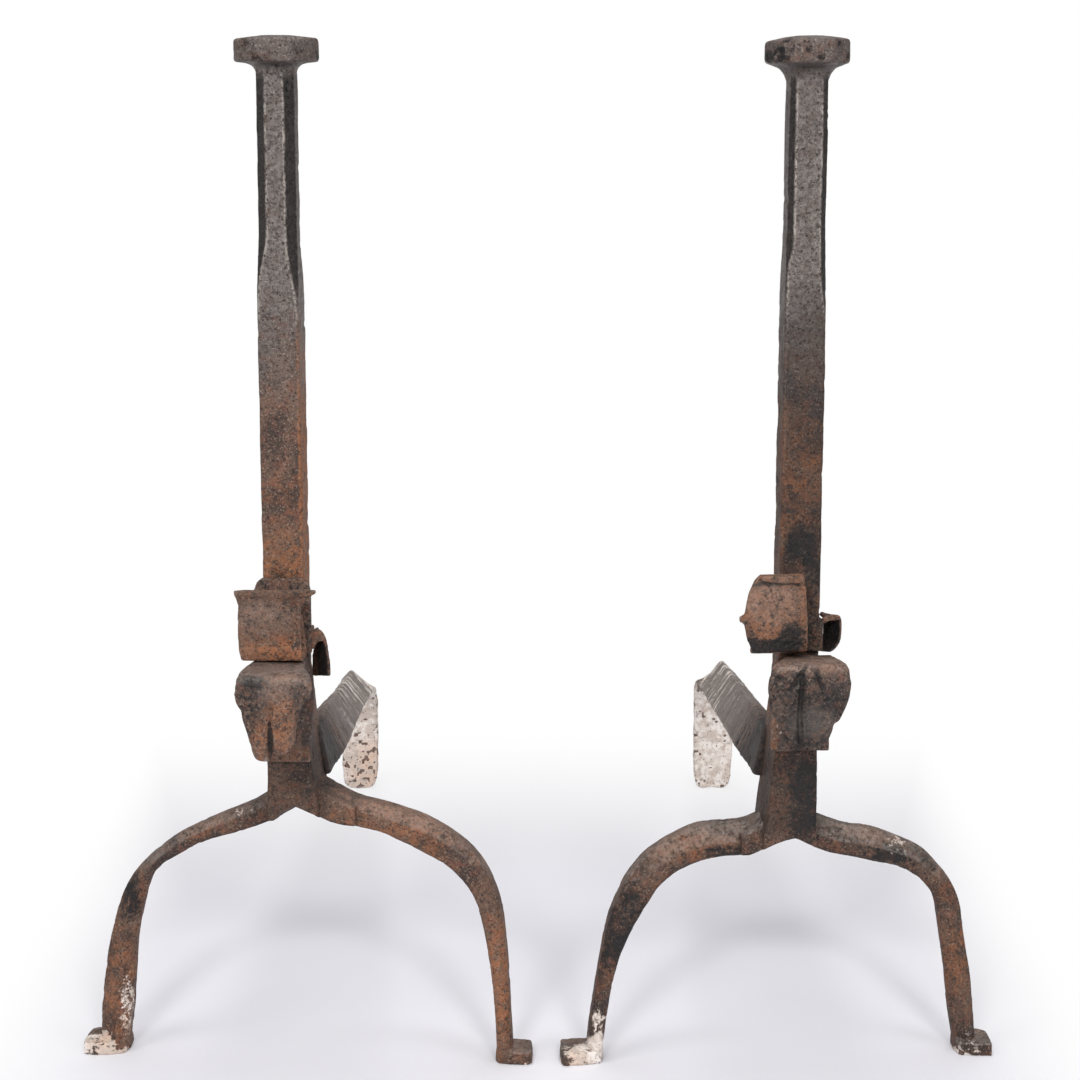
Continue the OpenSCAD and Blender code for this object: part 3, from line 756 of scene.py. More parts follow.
# Where rust, soot and lime lie on the posts and legs: strength, centre and radii in local millimetres.
FRAME_SPOTS = {
    LEFT: dict(
        orange=[(0.45, (0, -12, 305), (14, 12, 26)), (0.5, (-108, 2, 45), (9, 16, 42)),
                (0.75, (122, 0, 45), (10, 18, 42)), (0.35, (60, 2, 150), (60, 14, 14))],
        soot=[(1.0, (-104, 0, 104), (13, 16, 27)), (0.5, (-84, 0, 124), (12, 16, 10)),
              (0.45, (-116, 4, 62), (7, 16, 16)), (0.4, (0, -12, 180), (9, 9, 8)),
              (0.4, (104, 0, 118), (9, 16, 14)), (0.35, (114, 0, 84), (9, 16, 14))],
        lime=[(0.5, (-103, 6, 30), (5.0, 12, 22)), (0.62, (-121, 4, 6), (14, 12, 9)),
              (0.4, (-45, 4, 152), (26, 8, 4))],
        peach=[(0.6, (-112, 0, 12), (14, 14, 14))]),
    RIGHT: dict(
        orange=[(0.4, (3, -12, 350), (14, 12, 40)), (0.6, (68, 0, 134), (34, 14, 9)),
                (0.6, (-101, 0, 60), (12, 16, 26)), (0.35, (12, -10, 250), (6, 12, 60))],
        soot=[(1.0, (-1, -12, 317), (9.5, 8, 13)), (0.6, (-7, -12, 296), (6, 8, 20)),
              (0.95, (-6, -12, 160), (11, 10, 24)), (0.75, (3, -12, 184), (14, 9, 12)),
              (0.8, (96, 0, 88), (14, 18, 26)), (0.7, (30, -2, 130), (34, 14, 5)),
              (0.5, (107, 0, 58), (9, 18, 22)), (0.55, (-45, 0, 128), (30, 14, 7)),
              (0.7, (-72, 0, 122), (24, 14, 12))],
        lime=[(0.7, (118, 2, 8), (18, 14, 9)), (0.5, (113, -2, 26), (6, 10, 14)),
              (0.35, (-108, -2, 8), (12, 10, 12)), (0.42, (-66, 4, 138), (9, 12, 14))],
        peach=[(0.5, (132, 0, 3), (12, 12, 6)), (0.3, (-66, 4, 138), (9, 12, 14))]),
}
RACK_NOTCHES, RACK_FOOT, RACK_PITCH, RACK_DEPTH = 4, 267, 57, 2.6
NOTCH_HEIGHT = 13


def cut_rack(q):
    """Notches in the back of the post, in local millimetres, cut in place."""
    for k in range(RACK_NOTCHES):
        foot = RACK_FOOT + RACK_PITCH * k
        top = foot + NOTCH_HEIGHT
        cut = ramp(q[:, 2], foot - 1.5, foot + 1.5) * (1 - ramp(q[:, 2], top - 1.5, top + 1.5))
        behind = ramp(q[:, 1], HALF - 4.5, HALF - 1.0)
        q[:, 1] -= RACK_DEPTH * cut * behind * (0.75 + 0.25 * noise(q, 9, 40 + k))


def part_legs(q, side):
    """Lifts what hangs under the line between the legs; it rises towards the front."""
    line = np.array(CROTCH_LINE[side])
    x, y, z = q.T
    lowest = np.interp(x, line[:, 0], line[:, 1]) - 0.31 * (np.clip(y, -HALF, 2) + HALF)
    within = (x > line[0, 0]) & (x < line[-1, 0]) & (y < 34) & (z > 100)
    q[:, 2] = np.where(within, np.maximum(z, lowest), z)


def neck_lines(x, y, z, side, warp, fine):
    """Bright lines along the edges of the neck's corner facets: worn edges, lightened as a painted highlight.
    """
    lines = np.zeros(len(x))
    for t in (-1, 1):
        corner = post_width(z) - corner_cut(side, t, z)
        line = 1 - ramp(np.abs(x * t - corner + 0.2 * warp), 0.25, 0.95)
        line = line * ramp(-y, 7, 9) * ramp(z, 436, 452) * (1 - ramp(z, 572, 580)) * (0.65 + 0.5 * fine)
        lines = np.maximum(lines, line)
    return lines


def frame_shade_and_tone(q, n, facing, side, warp, edge, legs):
    """Painted shade on the neck's slanted facets, which face away from the front light, under the head, where
    the legs meet and under the legs; and a deeper tone on the right legs and low on the right post.
    """
    x, y, z = q.T
    aside = np.abs(facing[:, 0])
    slant = ramp(aside, 0.3, 0.5) * (1 - ramp(aside, 0.86, 0.95)) * ramp(-facing[:, 1], 0.2, 0.4)
    # painted shade on the slanted neck facets, standing in for their dull reflection
    painted_shade_and_tone = 0.9 * slant * ramp(z, 444, 470) * (1 - ramp(z, 574, 582)) * (1 - edge)
    # painted shade under the head's rim
    painted_shade_and_tone += 0.45 * ramp(-facing[:, 2], 0.3, 0.8) * ramp(z, 570, 580)
    # painted shade where the legs meet under the post
    under = (1 - ramp(z, 186, 215)) * ramp(z, 138, 150) * (1 - ramp(np.abs(x), 18, 34))
    painted_shade_and_tone += (0.46 if side == LEFT else 0.52) * under
    # painted shade on the legs' downward faces, and a deeper tone on the right legs
    painted_shade_and_tone += (0.28 * ramp(-n[:, 2], 0.1, 0.7) + (0.16 if side == RIGHT else 0)) * legs
    if side == RIGHT:
        # a deeper tone on the right post, from above the legs up to the neck
        low_post = ramp(z, 190, 230) * (1 - ramp(z + 20 * warp, 436, 470))
        painted_shade_and_tone += 0.55 * low_post * (1 - 0.5 * ramp(x, HALF - 2.2, HALF - 0.8))
    return painted_shade_and_tone


def frame_fields(obj, side):
    """Where the iron of a post, its head and its legs is bare, rusty, sooty, limed or dusty, with painted
    shade, painted edge highlights and painted light on the legs' upward facets.
    """
    p, n = get_points(obj)
    q = from_pair(p, side)
    c = curvature(obj)
    x, y, z = q.T
    warp = fractal(p, 34, 61, 3)
    fine = fractal(p, 7, 71, 3)
    legs = 1 - ramp(z, 150, 176)
    rim = ramp(z, 584, 586)
    bare = ramp(z + 34 * warp, 372, 470)
    # worn edges lightened, partly as a painted highlight
    edge = np.maximum(ramp(c, 0.2, 0.5) * (0.25 + 0.75 * bare), neck_lines(x, y, z, side, warp, fine))
    bare = bare * (1 - 0.35 * rim)
    soot, orange, lime, peach = (spots(q, FRAME_SPOTS[side][key])
                                 for key in ("soot", "orange", "lime", "peach"))
    orange += 0.35 * ramp(warp + fine * 0.6, 0.0, 0.6) * (1 - bare)
    if side == LEFT:
        orange += 0.95 * ramp(x, HALF - 2.2, HALF - 0.8) * ramp(z, 240, 275) * (1 - ramp(z, 455, 490))
    soot += 0.55 * ramp(-c, 0.12, 0.45)
    soot += rim * (0.22 + 0.5 * ramp(fine, -0.1, 0.5)) * (1 - 0.7 * edge)
    soot = soot * (0.8 + 0.55 * fractal(p, 13, 67, 2))
    lime += 0.5 * spot(q, (0, 11, 0), (200, 60, 3.5)) * ramp(fine, -0.2, 0.5)
    # painted light: the legs' upward facets are lightened through the ash field, as by light from above
    painted_top_light = ramp(n[:, 2], 0.28, 0.6) * legs
    field(obj, "bare", bare)
    field(obj, "edge", edge)
    field(obj, "soot", soot + 0.18 * fine)
    field(obj, "orange", orange + 0.2 * fine)
    field(obj, "lime", lime + 0.22 * fine * (lime > 0.02))
    field(obj, "peach", peach)
    field(obj, "ash_and_painted_light",
          0.18 * ramp(z, 596, 599) + (0.42 if side == LEFT else 0.55) * painted_top_light * (0.75 + 0.5 * fine))
    field(obj, "painted_shade_and_tone", frame_shade_and_tone(q, n, from_pair(p + n, side) - q, side, warp, edge, legs))


def forged_frame(side):
    """Post, head and both legs of one andiron, forged into one skin."""
    name = SIDES[side]
    parts = [post_part(side), head_part(side), *leg_parts(side, "inner"), *leg_parts(side, "outer"),
             weld_part(side)]
    obj = forge(f"{name}_forged_frame", outward(place(parts, side)), 0.8)
    smooth(obj, 1)
    p, _ = get_points(obj)
    q = from_pair(p, side)
    cut_rack(q)
    part_legs(q, side)
    set_points(obj, to_pair(q, side))
    hammer(obj, 0.33, 26, 0.28, 3 if side == LEFT else 11, rounds=1)
    frame_fields(obj, side)
    solids = [f"{name}_{part}" for part in ("post", "head", "inner_leg", "outer_leg")]
    finish_piece(obj, "post_iron", "andirons", IRON, *solids)


# ------------------------------------------------------------------ log bars
BAR_START = (12.0, 22.0, 185.5)
BAR_HALF_THICK = 5.3
BAR_BEVEL = 1.7
BAR_NEAR_WIDTH = 31
BAR_RUNS = 60
# The bend down into the rear foot: where it begins, and its radius.
BEND_Y, BEND_R = 550.5, 15
# Rear end of each bar: local x, height, roll and width at the bend, and how much wider the foot is than 28.5.
BARS = {
    LEFT: dict(x=-3.4, z=91.5, roll=47.0, width=24.5, widen=0.5, holes=(0.2, 0.6), white=0.85,
               peach=(0.6, (8, 566, 18), (22, 20, 24))),
    RIGHT: dict(x=4.6, z=98.0, roll=52.0, width=28.0, widen=2.6, holes=(0.55, 1.0), white=0.75,
                peach=(0.2, (-30, 566, 18), (22, 20, 24))),
}
# The rear foot's blade from the bend to the floor: height and width.
BAR_FOOT = ((60, 29), (40, 29.5), (22, 28.5), (10, 27.4), (3, 23.5), (0.6, 17))


def bar_skin(side):
    """The bar leaves the heel on edge, turns over on its way down and bends into its foot."""
    spec = BARS[side]
    a = math.radians(TURN[side])
    x0, y0, z0 = BAR_START
    start = np.array([x0 * math.cos(a) + y0 * math.sin(a), y0 * math.cos(a) - x0 * math.sin(a), z0])
    rear = np.array([spec["x"], BEND_Y, spec["z"]])
    rings = []
    for i in range(BAR_RUNS + 1):
        t = i / BAR_RUNS
        drawn = float(ramp(np.array(min(1.0, t * 1.15)), 0, 1))
        first = 16 * float(ramp(np.array(t), 0.05, 0.25))
        roll = math.radians(78 - first - (62 - spec["roll"]) * float(ramp(np.array(t), 0.2, 1.0)))
        uneven = 1 + 0.05 * math.sin(t * 9 + side) * t
        width = (BAR_NEAR_WIDTH + (spec["width"] - BAR_NEAR_WIDTH) * drawn) * uneven
        u = np.array([math.cos(roll), 0, -math.sin(roll)])
        v = np.array([math.sin(roll), 0, math.cos(roll)])
        rings.append(section(start + (rear - start) * t, u, v, width / 2, BAR_HALF_THICK, BAR_BEVEL))
    aside = np.array([1.0, 0, 0])
    for i in range(1, 9):
        t = i / 8
        angle = math.radians(90 * t)
        roll = math.radians(spec["roll"] * (1 - t))
        up = np.array([0, math.sin(angle), math.cos(angle)])
        c = rear + BEND_R * np.array([0, math.sin(angle), math.cos(angle) - 1])
        width = spec["width"] + (28.5 + spec["widen"] - spec["width"]) * t
        rings.append(section(c, math.cos(roll) * aside - math.sin(roll) * up,
                             math.sin(roll) * aside + math.cos(roll) * up, width / 2, BAR_HALF_THICK,
                             BAR_BEVEL))
    for z, width in BAR_FOOT:
        thick = 5.2 if z > 5 else 4.2
        rings.append(section((spec["x"], BEND_Y + BEND_R, z), (1, 0, 0), (0, 1, 0),
                             (width + spec["widen"]) / 2, thick, BAR_BEVEL))
    return loft(rings)


def log_bar(side):
    """One log bar with its rear foot, its hammer ridges and its crust of lime."""
    name = SIDES[side]
    spec = BARS[side]
    obj = forge(f"{name}_bar", outward(place([bar_skin(side)], side, False)), 1.0)
    hammer(obj, 0.45, 21, 0.4, 23 + side, rounds=2)
    p, n = get_points(obj)
    q = from_pair(p, side, False)
    y, z = q[:, 1], q[:, 2]
    lean = y + 0.55 * q[:, 0] + 3.5 * noise(p, 26, 5)
    ridge = noise(np.stack([lean, q[:, 0] * 0.12, z * 0.12], axis=1), 2.6, 77)
    streak = 0.6 * ridge + 0.5 * noise(np.stack([lean, q[:, 0] * 0.1, z * 0.1], axis=1), 6.5, 79)
    crust = ramp(y, 545, 562) * (1 - ramp(z, 74, 96))
    clean = 1 - crust
    d = 0.17 * ridge * clean + crust * (0.55 * fractal(p, 5.5, 91, 3)
                                        + 0.35 * ramp(noise(p, 9, 97), 0.1, 0.7))
    p = p + n * d[:, None]
    set_points(obj, kept_inside(p))
    warp = fractal(p, 30, 101, 3)
    c = curvature(obj)
    near = 1 - ramp(y, 60, 210)
    far = ramp(y + 60 * warp, 130, 410)
    across = z - (BAR_START[2] - 0.18 * (y - 26))
    # painted shade on the bar's side face near the heel, turned away from the lamps
    turned_away = 1 - ramp(y - (96 - 3.0 * across), -7, 7)
    sooted = clean * (1 - 0.7 * far) * (0.22 * ramp(warp, 0.1, 0.6) + 0.22 * ramp(-streak, 0.0, 0.5))
    holes = ramp(noise(p, 2.3, 111) + 0.5 * noise(p, 6.5, 113), *spec["holes"])
    whitened = spec["white"] * far * ramp(streak + 0.8 * warp, -0.1, 0.6) * clean
    field(obj, "bare", 0.6 + 0.2 * warp - 0.5 * near)
    field(obj, "painted_shade_and_tone", 0.75 * turned_away)
    field(obj, "edge", ramp(c, 0.12, 0.4) * 0.6)
    field(obj, "ash_and_painted_light", clean * (0.12 + 0.75 * far + 0.35 * streak) * (1 - 0.8 * near))
    field(obj, "soot", 0.6 * near + 0.25 * ramp(-c, 0.1, 0.4) + sooted)
    field(obj, "orange", 0.3 * ramp(warp, -0.1, 0.5) * near + 0.16 * clean + 0.7 * crust)
    field(obj, "lime", crust * (0.95 - 0.85 * holes) + 0.1 * warp * crust + whitened)
    field(obj, "peach", spots(q, [spec["peach"]]))
    finish_piece(obj, "bar_iron", "andirons", BAR, f"{name}_log_bar")


# ------------------------------------------------------------------ leaf hooks
# Each leaf's outline in local x and z, and its strap from the post over the fold: y, z and both edges' x.
LEAVES = {
    LEFT: dict(
        outline=[(-4, 254.6), (-12, 254.2), (-16.2, 252.4), (-17.9, 248.5), (-18, 243), (-17.0, 238.2),
                 (-14.6, 235), (-13.9, 230), (-11.5, 222.5), (-9.0, 213.5), (-7.8, 209.4), (-5.6, 207.0),
                 (0, 206.4), (1.6, 208.0), (2.4, 210.6), (9, 211), (14.2, 215.2), (16.3, 226), (18.6, 236),
                 (22.4, 243), (25.2, 248.2), (22.6, 252.8), (15, 254.6)],
        strap=[(-14.2, 191, -11.0, 14.8), (-14.2, 204, -11.0, 15.4), (-14.2, 218, -11.2, 16.4),
               (-14.2, 230, -11.2, 17.0), (-14.2, 244, -11.4, 16.4), (-15.2, 248.8, -11.6, 15.0),
               (-18, 251.8, -12, 14.4), (-22.5, 252.6, -12.6, 14.4), (-34, 252.6, -14.4, 15.0),
               (-42, 252.6, -15.6, 16.4), (-50, 252.6, -16.6, 19.0), (-57, 252.2, -17.4, 22.0),
               (-63.2, 250.8, -17.8, 24.2), (-66.8, 248, -17.8, 24.8), (-69.0, 242, -17.4, 23.4)]),
    RIGHT: dict(
        outline=[(17.0, 259.6), (20.5, 258.4), (24.4, 254.8), (26.4, 249.5), (25.4, 236.5), (22.8, 231),
                 (19.4, 225.8), (15.4, 219.4), (9.0, 214.2), (4, 213.2), (-0.5, 213.6), (-6, 216),
                 (-9.4, 222.0), (-10.3, 227.0), (-13.4, 229.0), (-17.9, 239.0), (-19.6, 247.5), (-18.6, 253),
                 (-14.5, 258), (-8.5, 259.6)],
        strap=[(-14.2, 196, -18.2, 15.8), (-14.2, 206, -18.2, 15.8), (-14.2, 218, -18.0, 15.4),
               (-14.2, 230, -17.6, 13.4), (-14.2, 243, -17.3, 10.2), (-15.2, 247.8, -17.3, 9.6),
               (-18, 250.8, -17.3, 9.8), (-22.5, 252.0, -17.4, 10.6), (-34, 253.4, -17.6, 13.2),
               (-42, 254.4, -18.0, 15.6), (-50, 255.4, -18.4, 18.6), (-57, 256.0, -18.8, 21.6),
               (-63.2, 255.4, -19.0, 24.0), (-66.8, 252, -19.2, 25.0), (-69.0, 246, -19.2, 25.4)]),
}
# The blade from its back to its front: y, and the outline's size there.
BLADE = ((-66.6, 0.97), (-67.4, 0.99), (-70.2, 1.0), (-71.6, 0.97))
LEAF_SPOTS = {
    LEFT: dict(
        soot=[(0.5, (-12, -70, 238), (10, 8, 19), 0.8), (0.45, (17.5, -70, 240), (7.5, 8, 15), 0.8),
              (0.5, (-6, -70, 252), (8, 8, 4)), (0.7, (2, -70, 219), (2.2, 8, 10))],
        orange=[(0.85, (8, -70, 228), (9, 8, 17)), (0.7, (-3, -70, 218), (6, 8, 12)),
                (0.6, (10, -68, 257), (12, 12, 5)), (0.6, (5, -16, 194), (14, 6, 6))],
        dust=[(0.25, (6, -70, 246), (10, 8, 6))],
        lime=[],
        peach=[]),
    RIGHT: dict(
        soot=[(0.12, (3, -70, 238), (30, 8, 28))],
        orange=[],
        dust=[(0.25, (2, -70, 228), (12, 8, 8))],
        lime=[(0.35, (12, -16, 205), (4, 6, 9))],
        peach=[(0.8, (12, -16, 205), (5, 6, 10))]),
}


def bent_strip(path, edges, half_thick, bevel):
    """A flat strip bent along a path of (y, z), between edges given in x."""
    path = np.array(path, dtype=float)
    ahead = np.gradient(path, axis=0)
    ahead /= np.linalg.norm(ahead, axis=1)[:, None]
    return loft([section(((x0 + x1) / 2, y, z), (1, 0, 0), (0, -tz, ty), (x1 - x0) / 2, half_thick, bevel)
                 for (y, z), (ty, tz), (x0, x1) in zip(path, ahead, edges)])


def leaf_parts(side):
    """The strap with its fold, and the blade that hangs from it."""
    strap = LEAVES[side]["strap"]
    outline = LEAVES[side]["outline"]
    shape = catmull(outline + outline[:1], 4)[:-1]
    mid = shape.mean(axis=0)
    fold = HOOK_TOP[side] - 9
    blade = []
    for y, grow in BLADE:
        g = mid + (shape - mid) * grow
        rolled_back = np.where(g[:, 1] > fold, (g[:, 1] - fold) * 0.42, 0)
        blade.append(np.column_stack([g[:, 0], y + rolled_back, g[:, 1]]))
    return [bent_strip([row[:2] for row in strap], [row[2:] for row in strap], 2.4, 1.2), loft(blade)]


def dent(x, z, centre, radius, soft):
    """A spot on the leaf's face, in local x and z alone."""
    (cx, cz), (rx, rz) = centre, radius
    return spot(np.stack([x, z * 0, z], axis=1), (cx, 0, cz), (rx, 1, rz), soft)


def stroke(offset, half_width):
    """A chisel's groove: 1 on its line, 0 away from it."""
    return np.exp(-(offset / half_width) ** 2)


def leaf_relief(side, x, z, warp):
    """(depth in millimetres, painted shade in the grooves) of the leaf's grooves and lobes."""
    if side == LEFT:
        deep = stroke(x - 1.6 - 0.5 * warp, 1.5) * (1 - ramp(z, 236, 246))
        deep = deep * (0.55 + 0.45 * (1 - ramp(z, 222, 232)))
        lobe = dent(x, z, (8.4, 226), (7.6, 15), 0.28)
        lobe_low = dent(x, z, (-3.5, 224), (5.5, 18), 0.35)
        depth = 2.0 * deep + 1.7 * (1 - np.maximum(lobe, 0.8 * lobe_low)) * (1 - ramp(z, 240, 254))
        depth += 0.9 * stroke(x - 6 - (z - 243) * 0.4, 2.2) * ramp(z, 238, 244) * (1 - ramp(z, 250, 257))
        return depth, 0.8 * deep * (1 - ramp(z, 219, 229))
    middle = stroke(x - (8.2 + 0.45 * np.sin((z - 214) / 9) + 0.4 * warp), 1.5) * (1 - ramp(z, 252, 258))
    left = stroke(x - (5.5 + (259 - z) * 0.7), 1.5) * ramp(z, 244, 248) * (1 - ramp(z, 257, 261))
    right = stroke(x - (1.5 - (260 - z) * 0.36), 1.5) * ramp(z, 244, 249) * (1 - ramp(z, 257, 261))
    depth = 2.4 * middle + 1.7 * (left + right) + 0.8 * ramp(np.abs(x - 3), 13, 22)
    depth += 1.4 * dent(x, z, (-10, 249), (6.5, 7.5), 0.5) + 1.1 * dent(x, z, (17, 247), (7, 6), 0.5)
    return depth, np.clip(1.1 * middle + left + right, 0, 1)


def leaf_fields(obj, side, front, groove):
    """Where a leaf hook is sooty, rusty or dusty, with painted shade in its grooves and on its strap behind
    the blade, and the blade deeper in tone towards its bottom.
    """
    p, _ = get_points(obj)
    q = from_pair(p, side)
    x, y, z = q.T
    c = curvature(obj, 5)
    fine = fractal(p, 6, 81, 3)
    top = ramp(z, HOOK_TOP[side] - 6, HOOK_TOP[side] - 1.5) * ramp(-y, 20, 28)
    soot, orange, dust, lime, peach = (spots(q, LEAF_SPOTS[side][key])
                                       for key in ("soot", "orange", "dust", "lime", "peach"))
    if side == LEFT:
        dust += 0.45 * top
        lime += 0.12 * dust
    else:
        strap_side = (1 - ramp(z, 214, 222)) * (1 - ramp(-y, 30, 40))
        soot += 0.36 - 0.5 * top + 0.2 * noise(p, 15, 119) - 0.6 * ramp(x, 10, 13) * strap_side
        orange += 0.75 * top + 0.95 * ramp(x, 10.5, 13.5) * strap_side
        dust += 0.5 * top
    soot += 0.5 * ramp(-c, 0.1, 0.4)
    strap = (1 - ramp(-y, 30, 44)) * (1 - ramp(z, 244, 252)) * (0.8 + 0.4 * noise(p * [1, 1, 0.15], 3.2, 121))
    # painted shade in the grooves and on the strap behind the blade; the blade is also darker towards its
    # bottom
    low_dark, strap_shade = (0.1, 0.45) if side == LEFT else (0.4, 0.3)
    painted_shade_and_tone = (0.9 * groove + low_dark * ramp(250 - z, -4, 8)) * front + strap_shade * strap
    field(obj, "soot", soot + 0.2 * fine)
    field(obj, "orange", orange + 0.25 * fine)
    field(obj, "bare", (0.12 if side == LEFT else 0.27) + 0.2 * fine)
    field(obj, "edge", ramp(c, 0.12, 0.42) * 0.55)
    field(obj, "painted_shade_and_tone", painted_shade_and_tone)
    field(obj, "lime", lime)
    field(obj, "peach", peach)
    field(obj, "ash_and_painted_light", dust * (0.7 + 0.4 * fine))


def leaf_hook(side):
    """One leaf hook: a strap that folds forward and hangs down as a chiselled leaf."""
    name = SIDES[side]
    obj = forge(f"{name}_leaf", outward(place(leaf_parts(side), side)), 0.8)
    hammer(obj, 0.3, 15, 0.3, 41 + side, rounds=2)
    p, _ = get_points(obj)
    q = from_pair(p, side)
    front = ramp(-q[:, 1], 64.5, 68.5)
    depth, groove = leaf_relief(side, q[:, 0], q[:, 2], noise(p, 12, 55))
    q[:, 1] += depth * front
    set_points(obj, to_pair(q, side))
    leaf_fields(obj, side, front, groove)
    if side == LEFT:
        p, _ = get_points(obj)
        set_points(obj, p - (0, 0, HOOK_SAG))
    finish_piece(obj, "leaf_iron", "andirons", LEAF, f"{name}_leaf_hook")


# ------------------------------------------------------------------ sliding cradles
def dress(obj, side, part, soot, orange, bare=0.05, dust=0.0, painted_shade_and_tone=0.0, seed=0):
    """The finish of a sliding piece; soot, orange, dust and the painted shade and tone are numbers or values
    per point.
    """
    p, _ = get_points(obj)
    c = curvature(obj, 5)
    fine = fractal(p, 6, 131 + seed, 3)
    zero = np.zeros(len(p))
    field(obj, "soot", soot + 0.45 * ramp(-c, 0.1, 0.4) + 0.2 * fine)
    field(obj, "orange", orange + 0.3 * fine)
    field(obj, "bare", bare + 0.2 * fine)
    field(obj, "edge", ramp(c, 0.12, 0.42) * 0.6)
    field(obj, "lime", zero)
    field(obj, "peach", zero)
    field(obj, "painted_shade_and_tone", painted_shade_and_tone + zero)
    field(obj, "ash_and_painted_light", dust * (0.7 + 0.4 * fine))
    name = SIDES[side]
    finish_piece(obj, "slider_iron", f"{name}_slider", CRADLE, f"{name}_{part}")


COLLAR_HEIGHT = 24
COLLAR_WALL = 14.3
# Each collar: its sides in local x, the height of its low walls, and its plate's outline in x and z.
COLLARS = {
    LEFT: dict(
        sides=(-COLLAR_WALL, 13.6), low=10, soot=0.38, painted_shade_and_tone=0.15,
        plate=[(-16.4, 254.1), (16.4, 254.1), (16.4, 290), (15.2, 294.6), (11.4, 298), (4, 297.6),
               (-6, 297.1), (-11.4, 297.7), (-14.8, 294.8), (-16.4, 290)]),
    RIGHT: dict(
        sides=(-13.4, COLLAR_WALL), low=18, soot=0.5, painted_shade_and_tone=0.5,
        plate=[(-13.0, 254.7), (16.4, 254.7), (16.4, 284), (13.4, 289), (8.4, 292), (2, 291), (-1.0, 285),
               (-3.0, 277), (-13.0, 273.5)]),
}


def collar(side):
    """The ring on the post and the rounded plate that stands up in front of it."""
    name = SIDES[side]
    spec = COLLARS[side]
    lo = COLLAR_LOW[side]
    low = lo + spec["low"]
    left_hi = lo + COLLAR_HEIGHT if side == LEFT else low
    x_lo, x_hi = spec["sides"]
    walls = ((x_lo, x_hi, -COLLAR_OUT, -COLLAR_IN, low), (x_lo, x_hi, COLLAR_IN, COLLAR_WALL, low),
             (x_lo, -COLLAR_IN, -COLLAR_WALL, COLLAR_WALL, left_hi),
             (COLLAR_IN, x_hi, -COLLAR_WALL, COLLAR_WALL, low))
    parts = []
    for x0, x1, y0, y1, top in walls:
        middle, half = ((x0 + x1) / 2, (y0 + y1) / 2), ((x1 - x0) / 2, (y1 - y0) / 2)
        parts.append(loft([section((*middle, z), (1, 0, 0), (0, 1, 0), *half, 0.6)
                           for z in (lo, lo + 5, top)]))
    parts.append(slab(spec["plate"], -COLLAR_OUT, -COLLAR_IN))
    obj = forge(f"{name}_collar", outward(place(parts, side)), 0.75)
    smooth(obj, 2)
    p, n = get_points(obj)
    x, y, _ = from_pair(p, side).T
    inside = (np.abs(x) < COLLAR_IN + 0.8) & (np.abs(y) < COLLAR_IN + 0.8)
    d = np.where(inside, 0, 0.22 * fractal(p, 14, 51 + side, 2) + 0.1 * fractal(p, 3.4, 53, 2) - 0.1)
    set_points(obj, p + n * d[:, None])
    dress(obj, side, "collar", spec["soot"], 0.25, bare=0.15, painted_shade_and_tone=spec["painted_shade_and_tone"], seed=1 + side)


# Each trough's strip from the collar's plate down, forward and up into the lip: y, z and both edges' x.
TROUGHS = {
    LEFT: [(-17.8, 277, -16, 12), (-17.8, 268, -17, 13), (-18.0, 261, -18, 14), (-19.6, 257.3, -18.6, 14.6),
           (-23, 256.0, -18.8, 15), (-29, 255.8, -18.9, 15.2), (-35, 255.8, -19.2, 15.6),
           (-38.9, 256.3, -19.8, 15.6), (-39.4, 261, -20.6, 15.2), (-39.6, 271, -21.2, 14.8),
           (-39.2, 280, -21.2, 14.6), (-38.4, 286.5, -20.8, 15.2), (-38.8, 290.8, -21.2, 18.0),
           (-40.8, 294.0, -21.8, 21.4)],
    RIGHT: [(-17.8, 282, -1, 22), (-17.8, 273, -1, 24), (-18.0, 262, -0.5, 27), (-19.4, 258.6, 0, 29),
            (-23, 257.8, 0, 30), (-29, 259.1, 0, 30.5), (-34, 260.3, 0, 31), (-38.0, 261.6, 0, 31.8),
            (-38.5, 267, -0.2, 34), (-38.6, 278, 0.2, 36.2), (-38.2, 286.4, 0.6, 35.2),
            (-37.6, 294.8, 1.0, 33.4), (-36.6, 300.8, 1.6, 30.6), (-37.4, 304.4, 3.0, 27.4)],
}
# What is forged on: the lip as a bar of x, y, z and half its height and depth, and tabs in x and z.
LIPS = {
    LEFT: dict(
        bar=[(-22.6, -41.8, 294.4, 1.2, 1.2), (-20.6, -41.4, 293.8, 2.0, 1.5), (-17, -40.8, 294.2, 1.8, 1.6),
             (-8, -40.4, 294.6, 1.5, 1.7), (6, -40.4, 294.9, 1.5, 1.7), (15, -40.8, 294.8, 1.9, 1.7),
             (20, -41.4, 295.0, 2.0, 1.5), (24.0, -41.8, 295.6, 1.2, 1.2)],
        bevel=0.7,
        tabs=[[(14, 281), (15, 288), (22.6, 294.2), (18, 296), (12, 291)],
              [(-20.6, 287), (-22.6, 293.0), (-21, 295), (-17, 291)]],
        tab_y=(-41.6, -38.6)),
    RIGHT: dict(
        bar=[(3.2, -39.4, 302.2, 1.6, 1.7), (7, -39.4, 302.0, 2.3, 2.2), (14, -39.4, 302.0, 2.5, 2.3),
             (21, -39.4, 302.3, 2.2, 2.2), (26.6, -39.4, 302.8, 1.4, 1.7)],
        bevel=1.0,
        tabs=[[(34.5, 276.8), (38.4, 277.4), (38.6, 280.8), (34.5, 282.4)]],
        tab_y=(-39.2, -36.4)),
}
